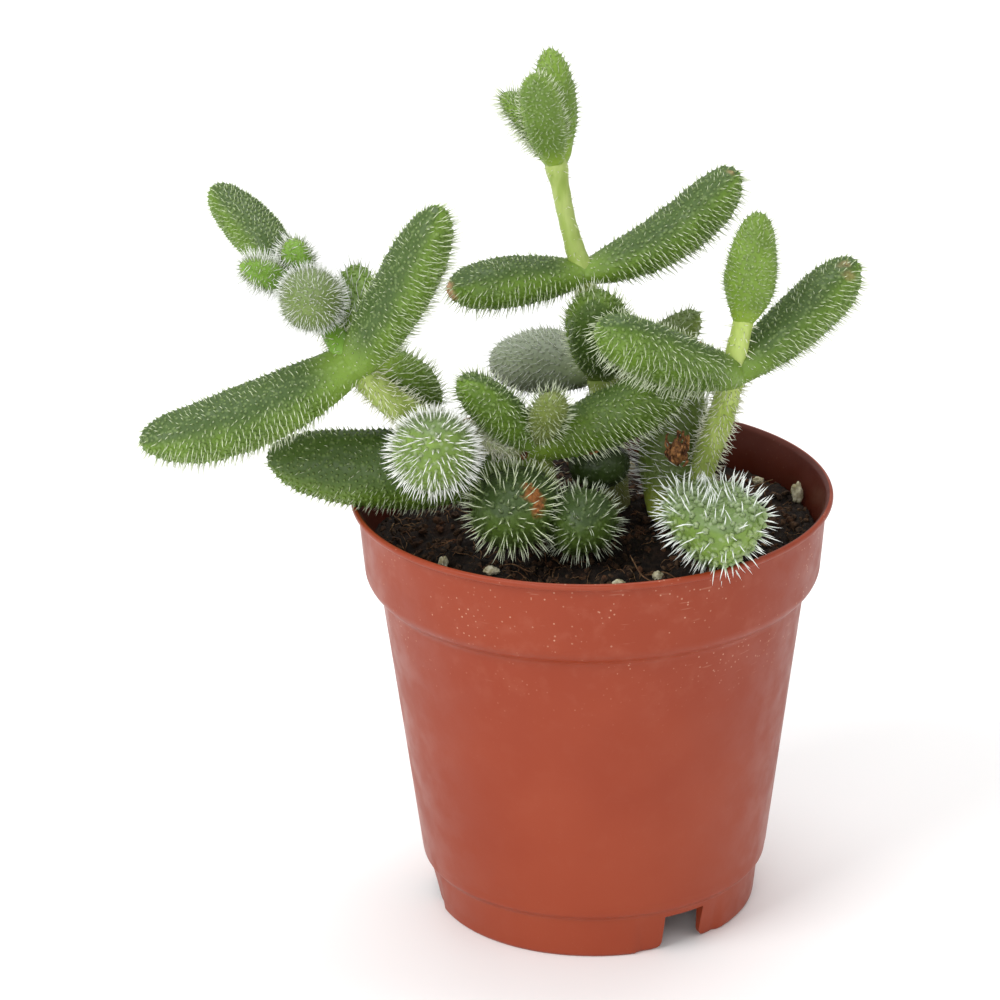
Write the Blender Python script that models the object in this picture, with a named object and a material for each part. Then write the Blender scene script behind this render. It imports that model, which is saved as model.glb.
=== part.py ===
"""Potted pickle plant: three rooted cuttings of a bristly succulent in a small nursery pot.

Lengths below are in millimetres and become metres through MM. The plant is laid out
around the pot's own axis; at the end the whole group is shifted so that the middle of
its footprint is the origin. +Z is up, -Y is the front.
"""
import math

import bpy
from mathutils import Matrix, Vector

MM = 0.001

# ---------------------------------------------------------------- driving dimensions
POT_HEIGHT = 50.2          # foot to the top of the rim
RIM_RADIUS = 27.5          # outside of the rim bead
RIM_INNER = 26.65          # inner edge of the rim
BAND_BOTTOM = 40.8         # lower edge of the straight band under the rim
BODY_TOP_RADIUS = 24.3     # tapered body just under the band
BODY_LOW_RADIUS = 20.0     # tapered body just above the foot
FOOT_TOP = 5.3             # ledge where the foot ring starts
FOOT_RADIUS = 18.6         # outside of the foot ring at the bottom
FLOOR_UNDER = 4.8          # underside of the raised floor
FLOOR_TOP = 5.6            # upper side of the raised floor
WALL = 0.75
POT_SEGMENTS = 48
NOTCH_ANGLES = (33.0, 153.0, 273.0)   # gaps in the foot ring, degrees from the front to the right
NOTCH_WIDTH = 16.2                    # degrees
DRAIN_RADIUS = 2.1
DRAIN_CIRCLE = 11.0
DRAIN_COUNT = 5

SOIL_LEVEL = 44.8          # mean height of the compost
SOIL_TILT = 0.042          # rise per millimetre towards +X
SOIL_LUMPS = 0.4
GAP = 0.3                  # clearance between touching solids

# ---------------------------------------------------------------- materials
PALETTE = {
    "pot_plastic": ((0.40, 0.085, 0.038), 0.42),
    "compost": ((0.030, 0.018, 0.011), 0.95),
    "stem_skin": ((0.30, 0.45, 0.07), 0.55),
    "leaf_skin": ((0.13, 0.27, 0.045), 0.50),
    "young_leaf_skin": ((0.22, 0.40, 0.10), 0.55),
    "perlite": ((0.62, 0.60, 0.48), 0.85),
    "dry_bud": ((0.20, 0.075, 0.02), 0.80),
}


def material(name):
    found = bpy.data.materials.get(name)
    if found:
        return found
    colour, rough = PALETTE[name]
    made = bpy.data.materials.new(name)
    made.use_nodes = True
    shader = made.node_tree.nodes["Principled BSDF"]
    shader.inputs["Base Color"].default_value = (*colour, 1.0)
    shader.inputs["Roughness"].default_value = rough
    shader.inputs["Metallic"].default_value = 0.0
    return made


def mesh_object(name, verts, faces, mat, sharp=50.0):
    mesh = bpy.data.meshes.new(name)
    mesh.from_pydata([tuple(c * MM for c in v) for v in verts], [], faces)
    mesh.validate()
    mesh.materials.append(material(mat))
    mesh.shade_smooth()
    mesh.set_sharp_from_angle(angle=math.radians(sharp))
    obj = bpy.data.objects.new(name, mesh)
    bpy.context.scene.collection.objects.link(obj)
    obj.parent = PLANT
    return obj


def as_cutter(obj):
    obj.hide_render = True
    obj.display_type = "WIRE"
    return obj


def boolean(target, other, operation="DIFFERENCE"):
    mod = target.modifiers.new(operation.lower(), "BOOLEAN")
    mod.operation = operation
    mod.solver = "EXACT"
    mod.object = other
    return mod


# ---------------------------------------------------------------- shape helpers
def catmull(points, values, steps):
    """Smooth samples through the points, with one more value carried along."""
    pts = [Vector(p) for p in points]
    out, val = [], []
    last = len(pts) - 1
    for i in range(last):
        p0, p1, p2, p3 = pts[max(i - 1, 0)], pts[i], pts[i + 1], pts[min(i + 2, last)]
        for s in range(steps):
            t = s / steps
            out.append(0.5 * (2 * p1 + (p2 - p0) * t
                              + (2 * p0 - 5 * p1 + 4 * p2 - p3) * t * t
                              + (3 * p1 - p0 - 3 * p2 + p3) * t ** 3))
            val.append(values[i] * (1 - t) + values[i + 1] * t)
    out.append(pts[last])
    val.append(values[last])
    return out, val


def tube(points, radii, sides=10, steps=3, grow=0.0):
    """A closed tube along a smooth path. grow widens and lengthens it for use as a cutter."""
    path, rad = catmull(points, radii, steps)
    if grow:
        path[0] = path[0] - (path[1] - path[0]).normalized() * grow
        path[-1] = path[-1] + (path[-1] - path[-2]).normalized() * grow
    verts, faces = [], []
    tangent = (path[1] - path[0]).normalized()
    side = tangent.orthogonal().normalized()
    for i, p in enumerate(path):
        new = (path[min(i + 1, len(path) - 1)] - path[max(i - 1, 0)]).normalized()
        side = (side - new * side.dot(new)).normalized()
        other = new.cross(side)
        for k in range(sides):
            a = 2 * math.pi * k / sides
            v = p + (side * math.cos(a) + other * math.sin(a)) * (rad[i] + grow)
            verts.append(tuple(v))
    for i in range(len(path) - 1):
        for k in range(sides):
            a, b = i * sides + k, i * sides + (k + 1) % sides
            faces.append((a, b, b + sides, a + sides))
    faces.append(tuple(reversed(range(sides))))
    faces.append(tuple(range((len(path) - 1) * sides, len(path) * sides)))
    return verts, faces


def leaf_radius(t, neck, widest, power):
    """Half width of a leaf along its length, from 0 at the stem to 1 at the tip."""
    if t <= widest:
        s = t / widest
        return neck + (1 - neck) * math.sin(s * math.pi / 2) ** 0.9
    s = (t - widest) / (1 - widest)
    return max(0.0, 1 - s ** power) ** 0.5


def leaf(name, base, tip, width, mat="leaf_skin", flat=0.88, bow=(0, 0, 0),
         neck=0.42, widest=0.55, power=2.3, heart=0.0, sides=10):
    """A fleshy leaf on local +Z with its base at its origin. heart flattens the top and keels the underside."""
    base, tip = Vector(base), Vector(tip)
    axis = tip - base
    length = axis.length
    z = axis.normalized()
    up = Vector((0, 0, 1)) if abs(z.z) < 0.9 else Vector((0, 1, 0))
    x = up.cross(z).normalized()
    y = z.cross(x)
    frame = Matrix((x, y, z)).transposed()
    bend = frame.transposed() @ Vector(bow)
    rings = (0.0, 0.10, 0.24, 0.40, 0.56, 0.70, 0.82, 0.91, 0.97)
    verts, faces = [], []
    for t in rings:
        r = width / 2 * leaf_radius(t, neck, widest, power)
        arch = 4 * t * (1 - t)
        for k in range(sides):
            a = 2 * math.pi * k / sides
            wide = math.cos(a) * (1 + heart * (0.24 * math.sin(a) - 0.04))
            high = math.sin(a) * (1 - 0.16 * heart if math.sin(a) > 0 else 1 + 0.06 * heart)
            verts.append((r * wide + bend.x * arch, r * flat * high + bend.y * arch, t * length))
    for i in range(len(rings) - 1):
        for k in range(sides):
            a, b = i * sides + k, i * sides + (k + 1) % sides
            faces.append((a, b, b + sides, a + sides))
    faces.append(tuple(reversed(range(sides))))
    end = len(verts)
    verts.append((0, 0, length))
    first = (len(rings) - 1) * sides
    for k in range(sides):
        faces.append((first + k, first + (k + 1) % sides, end))
    obj = mesh_object(name, verts, faces, mat)
    obj.matrix_local = Matrix.Translation(base * MM) @ frame.to_4x4()
    return obj


def turned(name, profile, mat, segments, sharp=32.0):
    """A closed profile of (radius, height), outer side first from the top down, spun about Z."""
    verts, faces = [], []
    ring = []
    for r, h in profile:
        if r <= 1e-6:
            ring.append([len(verts)])
            verts.append((0, 0, h))
        else:
            ring.append(list(range(len(verts), len(verts) + segments)))
            for k in range(segments):
                a = 2 * math.pi * k / segments
                verts.append((r * math.cos(a), r * math.sin(a), h))
    count = len(profile)
    pairs = [(i, (i + 1) % count) for i in range(count)]
    for i, j in pairs:
        upper, lower = ring[i], ring[j]
        if len(upper) == 1 and len(lower) == 1:
            continue
        for k in range(segments):
            n = (k + 1) % segments
            if len(lower) == 1:
                faces.append((upper[k], lower[0], upper[n]))
            elif len(upper) == 1:
                faces.append((upper[0], lower[k], lower[n]))
            else:
                faces.append((upper[k], lower[k], lower[n], upper[n]))
    return mesh_object(name, verts, faces, mat, sharp)


def front_angle(degrees):
    """Plan direction of an angle counted from the front (-Y) towards the right (+X)."""
    a = math.radians(degrees)
    return math.sin(a), -math.cos(a)


# ---------------------------------------------------------------- clean start
for old in list(bpy.data.objects):
    bpy.data.objects.remove(old, do_unlink=True)
PLANT = bpy.data.objects.new("pot_axis", None)
bpy.context.scene.collection.objects.link(PLANT)

# ---------------------------------------------------------------- pot
POT_PROFILE = [
    (RIM_RADIUS - 0.40, POT_HEIGHT), (RIM_RADIUS - 0.08, POT_HEIGHT - 0.18),
    (RIM_RADIUS, POT_HEIGHT - 0.45), (RIM_RADIUS - 0.15, POT_HEIGHT - 0.75),
    (RIM_RADIUS - 0.80, POT_HEIGHT - 0.95),
    (26.55, 47.0), (26.00, BAND_BOTTOM + 0.3), (25.75, BAND_BOTTOM - 0.35),
    (24.75, BAND_BOTTOM - 1.15), (BODY_TOP_RADIUS, BAND_BOTTOM - 1.7),
    (BODY_LOW_RADIUS + 0.1, FOOT_TOP + 1.3), (BODY_LOW_RADIUS - 0.1, FOOT_TOP + 0.5),
    (BODY_LOW_RADIUS - 0.6, FOOT_TOP), (FOOT_RADIUS + 0.1, 0.35), (FOOT_RADIUS - 0.2, 0.0),
    (FOOT_RADIUS - 1.05, 0.0), (FOOT_RADIUS - 0.75, FLOOR_UNDER), (0.0, FLOOR_UNDER),
    (0.0, FLOOR_TOP), (18.6, FLOOR_TOP), (BODY_LOW_RADIUS - WALL, FLOOR_TOP + 1.2),
    (BODY_TOP_RADIUS - WALL, BAND_BOTTOM - 1.6), (25.15, BAND_BOTTOM - 0.4),
    (25.80, 47.0), (RIM_INNER, POT_HEIGHT - 0.35),
]
pot = turned("pot", POT_PROFILE, "pot_plastic", POT_SEGMENTS)

for i, degrees in enumerate(NOTCH_ANGLES):
    dx, dy = front_angle(degrees)
    half = 18.5 * math.sin(math.radians(NOTCH_WIDTH / 2))
    verts = []
    for z in (-2.0, FLOOR_UNDER - 0.35):
        for r, s in ((15.5, -1), (22.5, -1), (22.5, 1), (15.5, 1)):
            verts.append((dx * r - dy * s * half, dy * r + dx * s * half, z))
    faces = [(3, 2, 1, 0), (4, 5, 6, 7)] + [(k, (k + 1) % 4, (k + 1) % 4 + 4, k + 4) for k in range(4)]
    cutter = as_cutter(mesh_object("cut_notch_%d" % i, verts, faces, "pot_plastic"))
    boolean(pot, cutter)

for i in range(DRAIN_COUNT):
    if i == 0:
        cx, cy = 0.0, 0.0
    else:
        a = 2 * math.pi * (i - 0.5) / (DRAIN_COUNT - 1)
        cx, cy = DRAIN_CIRCLE * math.cos(a), DRAIN_CIRCLE * math.sin(a)
    ring = [(cx + DRAIN_RADIUS * math.cos(2 * math.pi * k / 14),
             cy + DRAIN_RADIUS * math.sin(2 * math.pi * k / 14)) for k in range(14)]
    verts = [(x, y, FLOOR_UNDER - 2) for x, y in ring] + [(x, y, FLOOR_TOP + 2) for x, y in ring]
    faces = [tuple(reversed(range(14))), tuple(range(14, 28))]
    faces += [(k, (k + 1) % 14, (k + 1) % 14 + 14, k + 14) for k in range(14)]
    cutter = as_cutter(mesh_object("cut_drain_%d" % i, verts, faces, "pot_plastic"))
    boolean(pot, cutter)


# ---------------------------------------------------------------- compost
def soil_height(x, y):
    lumps = (math.sin(x * 0.55 + 1.1) * math.cos(y * 0.47 - 0.6)
             + 0.6 * math.sin(x * 0.9 - y * 0.7 + 2.0))
    return SOIL_LEVEL + SOIL_TILT * x + SOIL_LUMPS * lumps


def inner_wall(z):
    """Radius of the pot's inside at a height."""
    low = (BODY_LOW_RADIUS - WALL, FLOOR_TOP + 1.2)
    mid = (BODY_TOP_RADIUS - WALL, BAND_BOTTOM - 1.6)
    step = (25.15, BAND_BOTTOM - 0.4)
    top = (25.80, 47.0)
    for (r0, z0), (r1, z1) in ((low, mid), (mid, step), (step, top)):
        if z <= z1:
            return r0 + (r1 - r0) * (z - z0) / (z1 - z0)
    return top[0]


SOIL_SEGMENTS = 36
verts, faces, rings = [(0, 0, soil_height(0, 0))], [], []
for r in (4.5, 9.5, 14.5, 19.0, 22.5, None):
    row = []
    for k in range(SOIL_SEGMENTS):
        a = 2 * math.pi * k / SOIL_SEGMENTS
        rr = r if r else inner_wall(45.0) - GAP - 0.15
        x, y = rr * math.cos(a), rr * math.sin(a)
        z = soil_height(x, y) - (0.5 if r is None else 0.0)
        row.append(len(verts))
        verts.append((x, y, z))
    rings.append(row)
for z in (BAND_BOTTOM - 0.2, BAND_BOTTOM - 1.8, FLOOR_TOP + 1.4, FLOOR_TOP + GAP):
    row = []
    rr = (inner_wall(z) if z > FLOOR_TOP + 1 else 18.5) - GAP - 0.15
    for k in range(SOIL_SEGMENTS):
        a = 2 * math.pi * k / SOIL_SEGMENTS
        row.append(len(verts))
        verts.append((rr * math.cos(a), rr * math.sin(a), z))
    rings.append(row)
n = SOIL_SEGMENTS
for k in range(n):
    faces.append((0, rings[0][k], rings[0][(k + 1) % n]))
for upper, lower in zip(rings, rings[1:]):
    for k in range(n):
        faces.append((upper[k], lower[k], lower[(k + 1) % n], upper[(k + 1) % n]))
faces.append(tuple(reversed(rings[-1])))
soil = mesh_object("soil", verts, faces, "compost")

# ---------------------------------------------------------------- stems with their roots
STEMS = {
    "stem_centre": (
        [(-3.5, -2.0, 24), (-3.6, -1.6, 38), (-5.2, -2.2, 49), (-6.8, -3, 58.4)],
        [1.7, 1.9, 1.9, 1.6]),
    "stem_rear": (
        [(3.0, 9.5, 22), (3.2, 8.4, 38), (2.2, 7.6, 52), (1.0, 8, 62), (-0.2, 8, 70), (-1.1, 8, 74.2),
         (-2.6, 8, 80), (-4, 8, 87.8)],
        [1.6, 1.7, 1.6, 1.5, 1.4, 1.4, 1.05, 1.1]),
    "stem_right": (
        [(11.5, 1.0, 23), (11.2, 1.8, 38), (12.2, 2.1, 50), (14.8, 0.6, 59), (16, 0, 64.8), (17.3, 0, 71.2)],
        [1.5, 1.6, 1.6, 1.5, 1.4, 0.98]),
}
STEM_LEFT = (
    [(-6.6, -3, 56.4), (-12.6, -5, 58.6), (-17, -6, 59.9), (-22, -7.4, 63.8), (-26.6, -8, 69.1),
     (-28.8, -6, 71.9), (-32.2, -1, 75.9)],
    [1.4, 1.5, 1.6, 1.7, 1.6, 1.3, 1.2])
ROOTS = 4
ROOT_LENGTH = 11.0

fat = {}
for i, (name, (path, radii)) in enumerate(STEMS.items()):
    stem = mesh_object(name, *tube(path, radii), "stem_skin")
    fat[name] = as_cutter(mesh_object("cut_" + name, *tube(path, radii, grow=GAP), "stem_skin"))
    boolean(soil, fat[name])
    foot = Vector(path[0])
    for k in range(ROOTS):
        a = 2 * math.pi * (k + 0.3 * i) / ROOTS + 0.4
        out = Vector((math.cos(a), math.sin(a), 0))
        root_path = [foot + Vector((0, 0, 1.5)), foot + out * 2.8 + Vector((0, 0, -0.8)),
                     foot + out * 4.3 + Vector((0, 0, -0.45 * ROOT_LENGTH)),
                     foot + out * 3.6 + Vector((0, 0, -ROOT_LENGTH))]
        root_radii = [0.62, 0.55, 0.42, 0.3]
        root = as_cutter(mesh_object("root_%d_%d" % (i, k), *tube(root_path, root_radii, sides=6, steps=2), "stem_skin"))
        boolean(stem, root, "UNION")
        wide = as_cutter(mesh_object("cut_root_%d_%d" % (i, k), *tube(root_path, root_radii, sides=6, steps=2, grow=GAP), "stem_skin"))
        boolean(soil, wide)

stem_left = mesh_object("stem_left", *tube(*STEM_LEFT), "stem_skin")
boolean(stem_left, fat["stem_centre"])
fat["stem_left"] = as_cutter(mesh_object("cut_stem_left", *tube(*STEM_LEFT, grow=GAP), "stem_skin"))

# ---------------------------------------------------------------- leaves
YOUNG = "young_leaf_skin"
# name, stem it grows from, base on the stem's axis, tip, width, options
LEAVES = [
    # left branch
    ("leaf_left_upper", "stem_left", (-26.2, -8.0, 69.2), (-16.4, -12, 88.5), 7.6,
     {"neck": 0.70, "widest": 0.5, "power": 2.6, "bow": (0.5, 0, -0.4)}),
    ("leaf_left_long", "stem_left", (-26.8, -8.0, 69.0), (-50.2, -14, 61.8), 8.1,
     {"neck": 0.66, "widest": 0.5, "power": 2.8, "bow": (0, 0, -1.7)}),
    ("leaf_left_lower", "stem_left", (-25.8, -7.6, 68.8), (-18.7, 3.8, 57.2), 6.3,
     {"neck": 0.6, "bow": (0.9, 0.4, 1.7)}),
    ("leaf_left_back", "stem_left", (-26.9, -7.6, 69.6), (-26.2, 3.5, 76.2), 5.0, {}),
    ("leaf_left_ball", "stem_left", (-16.8, -6.2, 58.6), (-17.1, -18.3, 64.0), 8.9,
     {"mat": YOUNG, "flat": 0.96, "neck": 0.3, "widest": 0.5, "bow": (-0.6, 0, -1.4)}),
    ("leaf_tip_back", "stem_left", (-32.2, -0.9, 75.6), (-42.6, 9, 84.0), 5.6, {}),
    ("leaf_tip_front", "stem_left", (-31.4, -2.0, 74.4), (-30.7, -10.8, 77.5), 7.1,
     {"mat": YOUNG, "flat": 0.98, "neck": 0.4, "widest": 0.5}),
    ("leaf_tip_left", "stem_left", (-32.0, -1.3, 75.4), (-38.7, -5.0, 79.3), 3.9,
     {"mat": YOUNG, "neck": 0.4}),
    ("leaf_tip_upper", "stem_left", (-32.1, -1.1, 75.6), (-33.4, -1.6, 81.6), 3.5,
     {"mat": YOUNG, "neck": 0.5}),
    # right plant
    ("leaf_right_front", "stem_right", (15.9, 0.0, 64.3), (1.2, -13.8, 75.2), 7.4,
     {"neck": 0.55, "power": 2.8, "bow": (0, 0, -0.6)}),
    ("leaf_right_outer", "stem_right", (16.0, 0.0, 64.2), (30.3, 8, 74.9), 6.9,
     {"neck": 0.5, "power": 2.6, "bow": (0.2, 0, -0.5), "widest": 0.6}),
    ("leaf_right_upper", "stem_right", (17.2, 0.0, 70.2), (18.9, 1, 83.2), 5.9,
     {"neck": 0.3, "widest": 0.42, "power": 1.75}),
    ("leaf_right_ball", "stem_right", (12.8, 1.4, 50.2), (15.0, -25.8, 55.4), 10.3,
     {"mat": YOUNG, "flat": 0.80, "neck": 0.3, "widest": 0.75, "bow": (-0.9, 0, -0.4), "heart": 1.0}),
    ("leaf_right_inner", "stem_right", (9.0, 1.9, 47.0), (10.9, 6.6, 61.3), 7.8,
     {"bow": (-0.6, 0, 0), "neck": 0.72, "widest": 0.5}),
    # centre
    ("leaf_centre_long", "stem_centre", (-6.4, -2.9, 55.0), (-36.7, -3.8, 56.0), 6.8,
     {"bow": (0, 0, -1.2), "flat": 1.34, "neck": 0.5, "widest": 0.5, "power": 2.8}),
    ("leaf_centre_right", "stem_centre", (-6.7, -3.0, 56.8), (11.0, -1.2, 64.8), 7.5,
     {"neck": 0.55, "bow": (0, -0.6, -0.4)}),
    ("leaf_centre_left", "stem_centre", (-7.5, -3.7, 58.5), (-14.3, -9.2, 67.4), 6.0,
     {"neck": 0.68, "widest": 0.5}),
    ("leaf_centre_bud", "stem_centre", (-6.3, -3.8, 58.2), (-3.8, -10.2, 65.6), 4.0,
     {"mat": YOUNG, "flat": 0.95, "neck": 0.6}),
    ("leaf_front_left", "stem_centre", (-5.9, -2.5, 51.4), (-9.7, -15.2, 53.4), 9.4,
     {"flat": 0.95, "neck": 0.33, "widest": 0.52, "bow": (-0.5, 0, -0.4)}),
    ("leaf_front_middle", "stem_centre", (-4.7, -1.9, 47.8), (-0.3, -13.4, 51.1), 8.2,
     {"flat": 0.92, "neck": 0.4, "widest": 0.56, "bow": (1.0, 0, 0.2)}),
    # rear plant
    ("leaf_rear_front", "stem_rear", (1.0, 8.0, 61.0), (0.3, -0.6, 73.7), 7.2,
     {"bow": (0.3, 0.8, -0.4)}),
    ("leaf_rear_right", "stem_rear", (1.1, 8.0, 60.8), (12.4, 15, 66.1), 5.6,
     {"bow": (1.2, 0.8, -1.0)}),
    ("leaf_rear_left", "stem_rear", (0.9, 8.0, 62.0), (-10.9, 18.0, 59.2), 8.4,
     {"bow": (0, 0, 0.5)}),
    ("leaf_middle_dark", "stem_rear", (2.4, 7.4, 50.6), (-0.2, -3.0, 54.6), 6.6, {"widest": 0.65}),
    ("leaf_top_left", "stem_rear", (-1.0, 8.0, 73.8), (-16.2, 4, 73.2), 6.5,
     {"neck": 0.55, "power": 2.6}),
    ("leaf_top_right", "stem_rear", (-1.0, 8.0, 73.5), (17.2, 13, 84.0), 6.9,
     {"neck": 0.5, "power": 3.0, "bow": (0.4, 0, -1.9), "widest": 0.62}),
    ("leaf_crown_front", "stem_rear", (-3.9, 7.7, 87.0), (-6.3, 4.4, 98.4), 4.5,
     {"widest": 0.5, "power": 2.6}),
    ("leaf_crown_back", "stem_rear", (-3.5, 8.5, 87.0), (-4.5, 12.5, 98.9), 4.4,
     {"neck": 0.5, "bow": (0.4, 0, 0)}),
    ("leaf_crown_left", "stem_rear", (-4.2, 8.1, 86.9), (-9.7, 9.8, 94.6), 4.0,
     {"neck": 0.5, "bow": (0.7, 0.2, 0.3)}),
]
fat_leaves, boxes = {}, {}


def box_of(obj):
    points = [obj.matrix_basis @ v.co for v in obj.data.vertices]
    return [(min(p[i] for p in points) - GAP * MM, max(p[i] for p in points) + GAP * MM) for i in range(3)]


def near(one, two):
    return all(a[0] < b[1] and b[0] < a[1] for a, b in zip(one, two))


for name, stem, base, tip, width, options in LEAVES:
    made = leaf(name, base, tip, width, **options)
    boxes[name] = box_of(made)
    for other, cutter in fat.items():
        if other == stem or near(boxes[name], box_of(cutter)):
            boolean(made, cutter)
    # two leaves that press together: the later one in the list is hollowed round the earlier
    for other, cutter in fat_leaves.items():
        if near(boxes[name], boxes[other]):
            boolean(made, cutter)
    b, t = Vector(base), Vector(tip)
    run = (t - b).normalized() * GAP
    fat_leaves[name] = as_cutter(leaf("cut_" + name, b - run, t + run, width + 2.4 * GAP, **options))

# ---------------------------------------------------------------- small bits on the compost
def pebble(name, centre, size, turn, mat, seed):
    """A rough grain: a twelve-sided ball pulled out of round."""
    import bmesh
    bm = bmesh.new()
    bmesh.ops.create_icosphere(bm, subdivisions=1 if seed < 90 else 2, radius=0.5)
    for v in bm.verts:
        n = v.co.normalized()
        swell = 1 + 0.13 * math.sin(5.1 * n.x + seed) + 0.11 * math.cos(4.3 * n.y - 2.0 * seed + 3 * n.z)
        v.co = Vector((v.co.x * size[0], v.co.y * size[1], v.co.z * size[2])) * swell * MM
    mesh = bpy.data.meshes.new(name)
    bm.to_mesh(mesh)
    bm.free()
    mesh.materials.append(material(mat))
    mesh.shade_smooth()
    obj = bpy.data.objects.new(name, mesh)
    bpy.context.scene.collection.objects.link(obj)
    obj.parent = PLANT
    obj.location = Vector(centre) * MM
    obj.rotation_euler = (0, math.radians(turn[1]), math.radians(turn[0]))
    return obj


GRAINS = [
    # x, y, size, turn in plan, tilt
    (23.7, 7.2, (1.3, 1.2, 2.4), 20, 12),
    (-16.8, -8.3, (1.6, 1.1, 1.3), 60, 0),
    (-11.4, -12.2, (2.0, 1.3, 1.1), -20, 0),
    (2.9, -16.0, (1.5, 1.0, 0.9), 10, 0),
    (7.4, -13.8, (1.3, 1.2, 1.0), 45, 0),
    (19.5, 13.0, (1.4, 1.1, 1.0), -35, 0),
    (-14.5, 12.0, (1.7, 1.3, 1.2), 80, 0),
    (4.5, 18.5, (1.5, 1.2, 1.0), 15, 0),
]
for i, (x, y, size, plan, tilt) in enumerate(GRAINS):
    z = soil_height(x, y) + 0.5 * size[2] + 0.45
    pebble("perlite_%d" % (i + 1), (x, y, z), size, (plan, tilt), "perlite", i + 1)

bud = pebble("dry_bud", (9.6, -3.2, 55.9), (3.2, 3.0, 4.8), (0, 25), "dry_bud", 97)

# ---------------------------------------------------------------- put the origin under the middle
bpy.context.view_layer.update()
graph = bpy.context.evaluated_depsgraph_get()
low, high = Vector((1e9,) * 3), Vector((-1e9,) * 3)
for obj in bpy.data.objects:
    if obj.type != "MESH" or obj.hide_render:
        continue
    shape = obj.evaluated_get(graph)
    mesh = shape.to_mesh()
    for v in mesh.vertices:
        world = shape.matrix_world @ v.co
        low = Vector(map(min, low, world))
        high = Vector(map(max, high, world))
    shape.to_mesh_clear()
middle = (low + high) / 2
PLANT.location = (-middle.x, -middle.y, 0.0)
bpy.context.view_layer.update()
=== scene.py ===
"""Looks of the potted pickle plant: bristly leaves and stems, compost, and a moulded pot.

Lengths are in millimetres round the pot's own axis unless a name says otherwise.
"""
import math

import bpy
import numpy as np
from mathutils import Matrix, Vector, noise


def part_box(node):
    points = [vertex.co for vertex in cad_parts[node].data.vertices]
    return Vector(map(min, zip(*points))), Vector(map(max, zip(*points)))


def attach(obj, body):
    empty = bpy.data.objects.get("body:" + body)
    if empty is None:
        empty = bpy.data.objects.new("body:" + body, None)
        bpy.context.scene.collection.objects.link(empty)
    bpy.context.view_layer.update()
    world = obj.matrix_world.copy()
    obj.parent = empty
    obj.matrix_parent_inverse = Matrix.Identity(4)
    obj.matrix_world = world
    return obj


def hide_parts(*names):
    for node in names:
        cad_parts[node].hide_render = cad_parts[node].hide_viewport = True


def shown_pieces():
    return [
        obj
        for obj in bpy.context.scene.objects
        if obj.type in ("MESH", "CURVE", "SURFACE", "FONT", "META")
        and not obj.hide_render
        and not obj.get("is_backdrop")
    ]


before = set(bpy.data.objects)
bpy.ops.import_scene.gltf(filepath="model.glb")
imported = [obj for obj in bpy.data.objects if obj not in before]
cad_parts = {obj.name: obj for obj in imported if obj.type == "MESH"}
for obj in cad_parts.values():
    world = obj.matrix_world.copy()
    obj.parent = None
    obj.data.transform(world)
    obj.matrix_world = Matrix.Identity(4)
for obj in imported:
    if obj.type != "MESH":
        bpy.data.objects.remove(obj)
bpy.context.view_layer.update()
MM = 0.001
pot_low, pot_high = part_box("pot")
AXIS = np.array([(pot_low.x + pot_high.x) / 2, (pot_low.y + pot_high.y) / 2, 0.0])
SCENE = bpy.context.scene


# ------------------------------------------------------------------ meshes from arrays
def to_object(name, verts, polys, mats, attrs=None, slots=None, smooth=True):
    """verts: (n, 3) in mm. polys: list of (k, 3) or (k, 4) index arrays. attrs: point floats."""
    verts = np.asarray(verts, float)
    loops = np.concatenate([p.ravel() for p in polys]).astype(np.int32)
    sizes = np.concatenate([np.full(len(p), p.shape[1]) for p in polys]).astype(np.int32)
    starts = np.concatenate([[0], np.cumsum(sizes)[:-1]]).astype(np.int32)
    mesh = bpy.data.meshes.new(name)
    mesh.vertices.add(len(verts))
    mesh.vertices.foreach_set("co", (verts * MM + AXIS).astype(np.float32).ravel())
    mesh.loops.add(len(loops))
    mesh.loops.foreach_set("vertex_index", loops)
    mesh.polygons.add(len(sizes))
    mesh.polygons.foreach_set("loop_start", starts)
    mesh.polygons.foreach_set("use_smooth", np.full(len(sizes), smooth))
    for key, values in (attrs or {}).items():
        layer = mesh.attributes.new(key, "FLOAT", "POINT")
        layer.data.foreach_set("value", np.asarray(values, np.float32))
    for m in mats:
        mesh.materials.append(m)
    if slots is not None:
        mesh.polygons.foreach_set("material_index", np.asarray(slots, np.int32))
    mesh.update(calc_edges=True)
    mesh.validate()
    obj = bpy.data.objects.new(name, mesh)
    SCENE.collection.objects.link(obj)
    return obj


def unit(v):
    return v / np.maximum(np.linalg.norm(v, axis=-1, keepdims=True), 1e-12)


def wobble(points, scale, seed):
    """Smooth noise in -1..1 at each point."""
    shift = Vector((seed * 3.7, seed * 1.3, seed * 5.1))
    return np.array([noise.noise(Vector(p) * scale + shift) for p in np.asarray(points).tolist()])


def grid_faces(rows, cols, first=0):
    """Quads of a tube of rows x cols points, closed round the columns."""
    i, k = np.meshgrid(np.arange(rows - 1), np.arange(cols), indexing="ij")
    a = first + i * cols + k
    b = first + i * cols + (k + 1) % cols
    return np.stack([a, b, b + cols, a + cols], -1).reshape(-1, 4)


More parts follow.
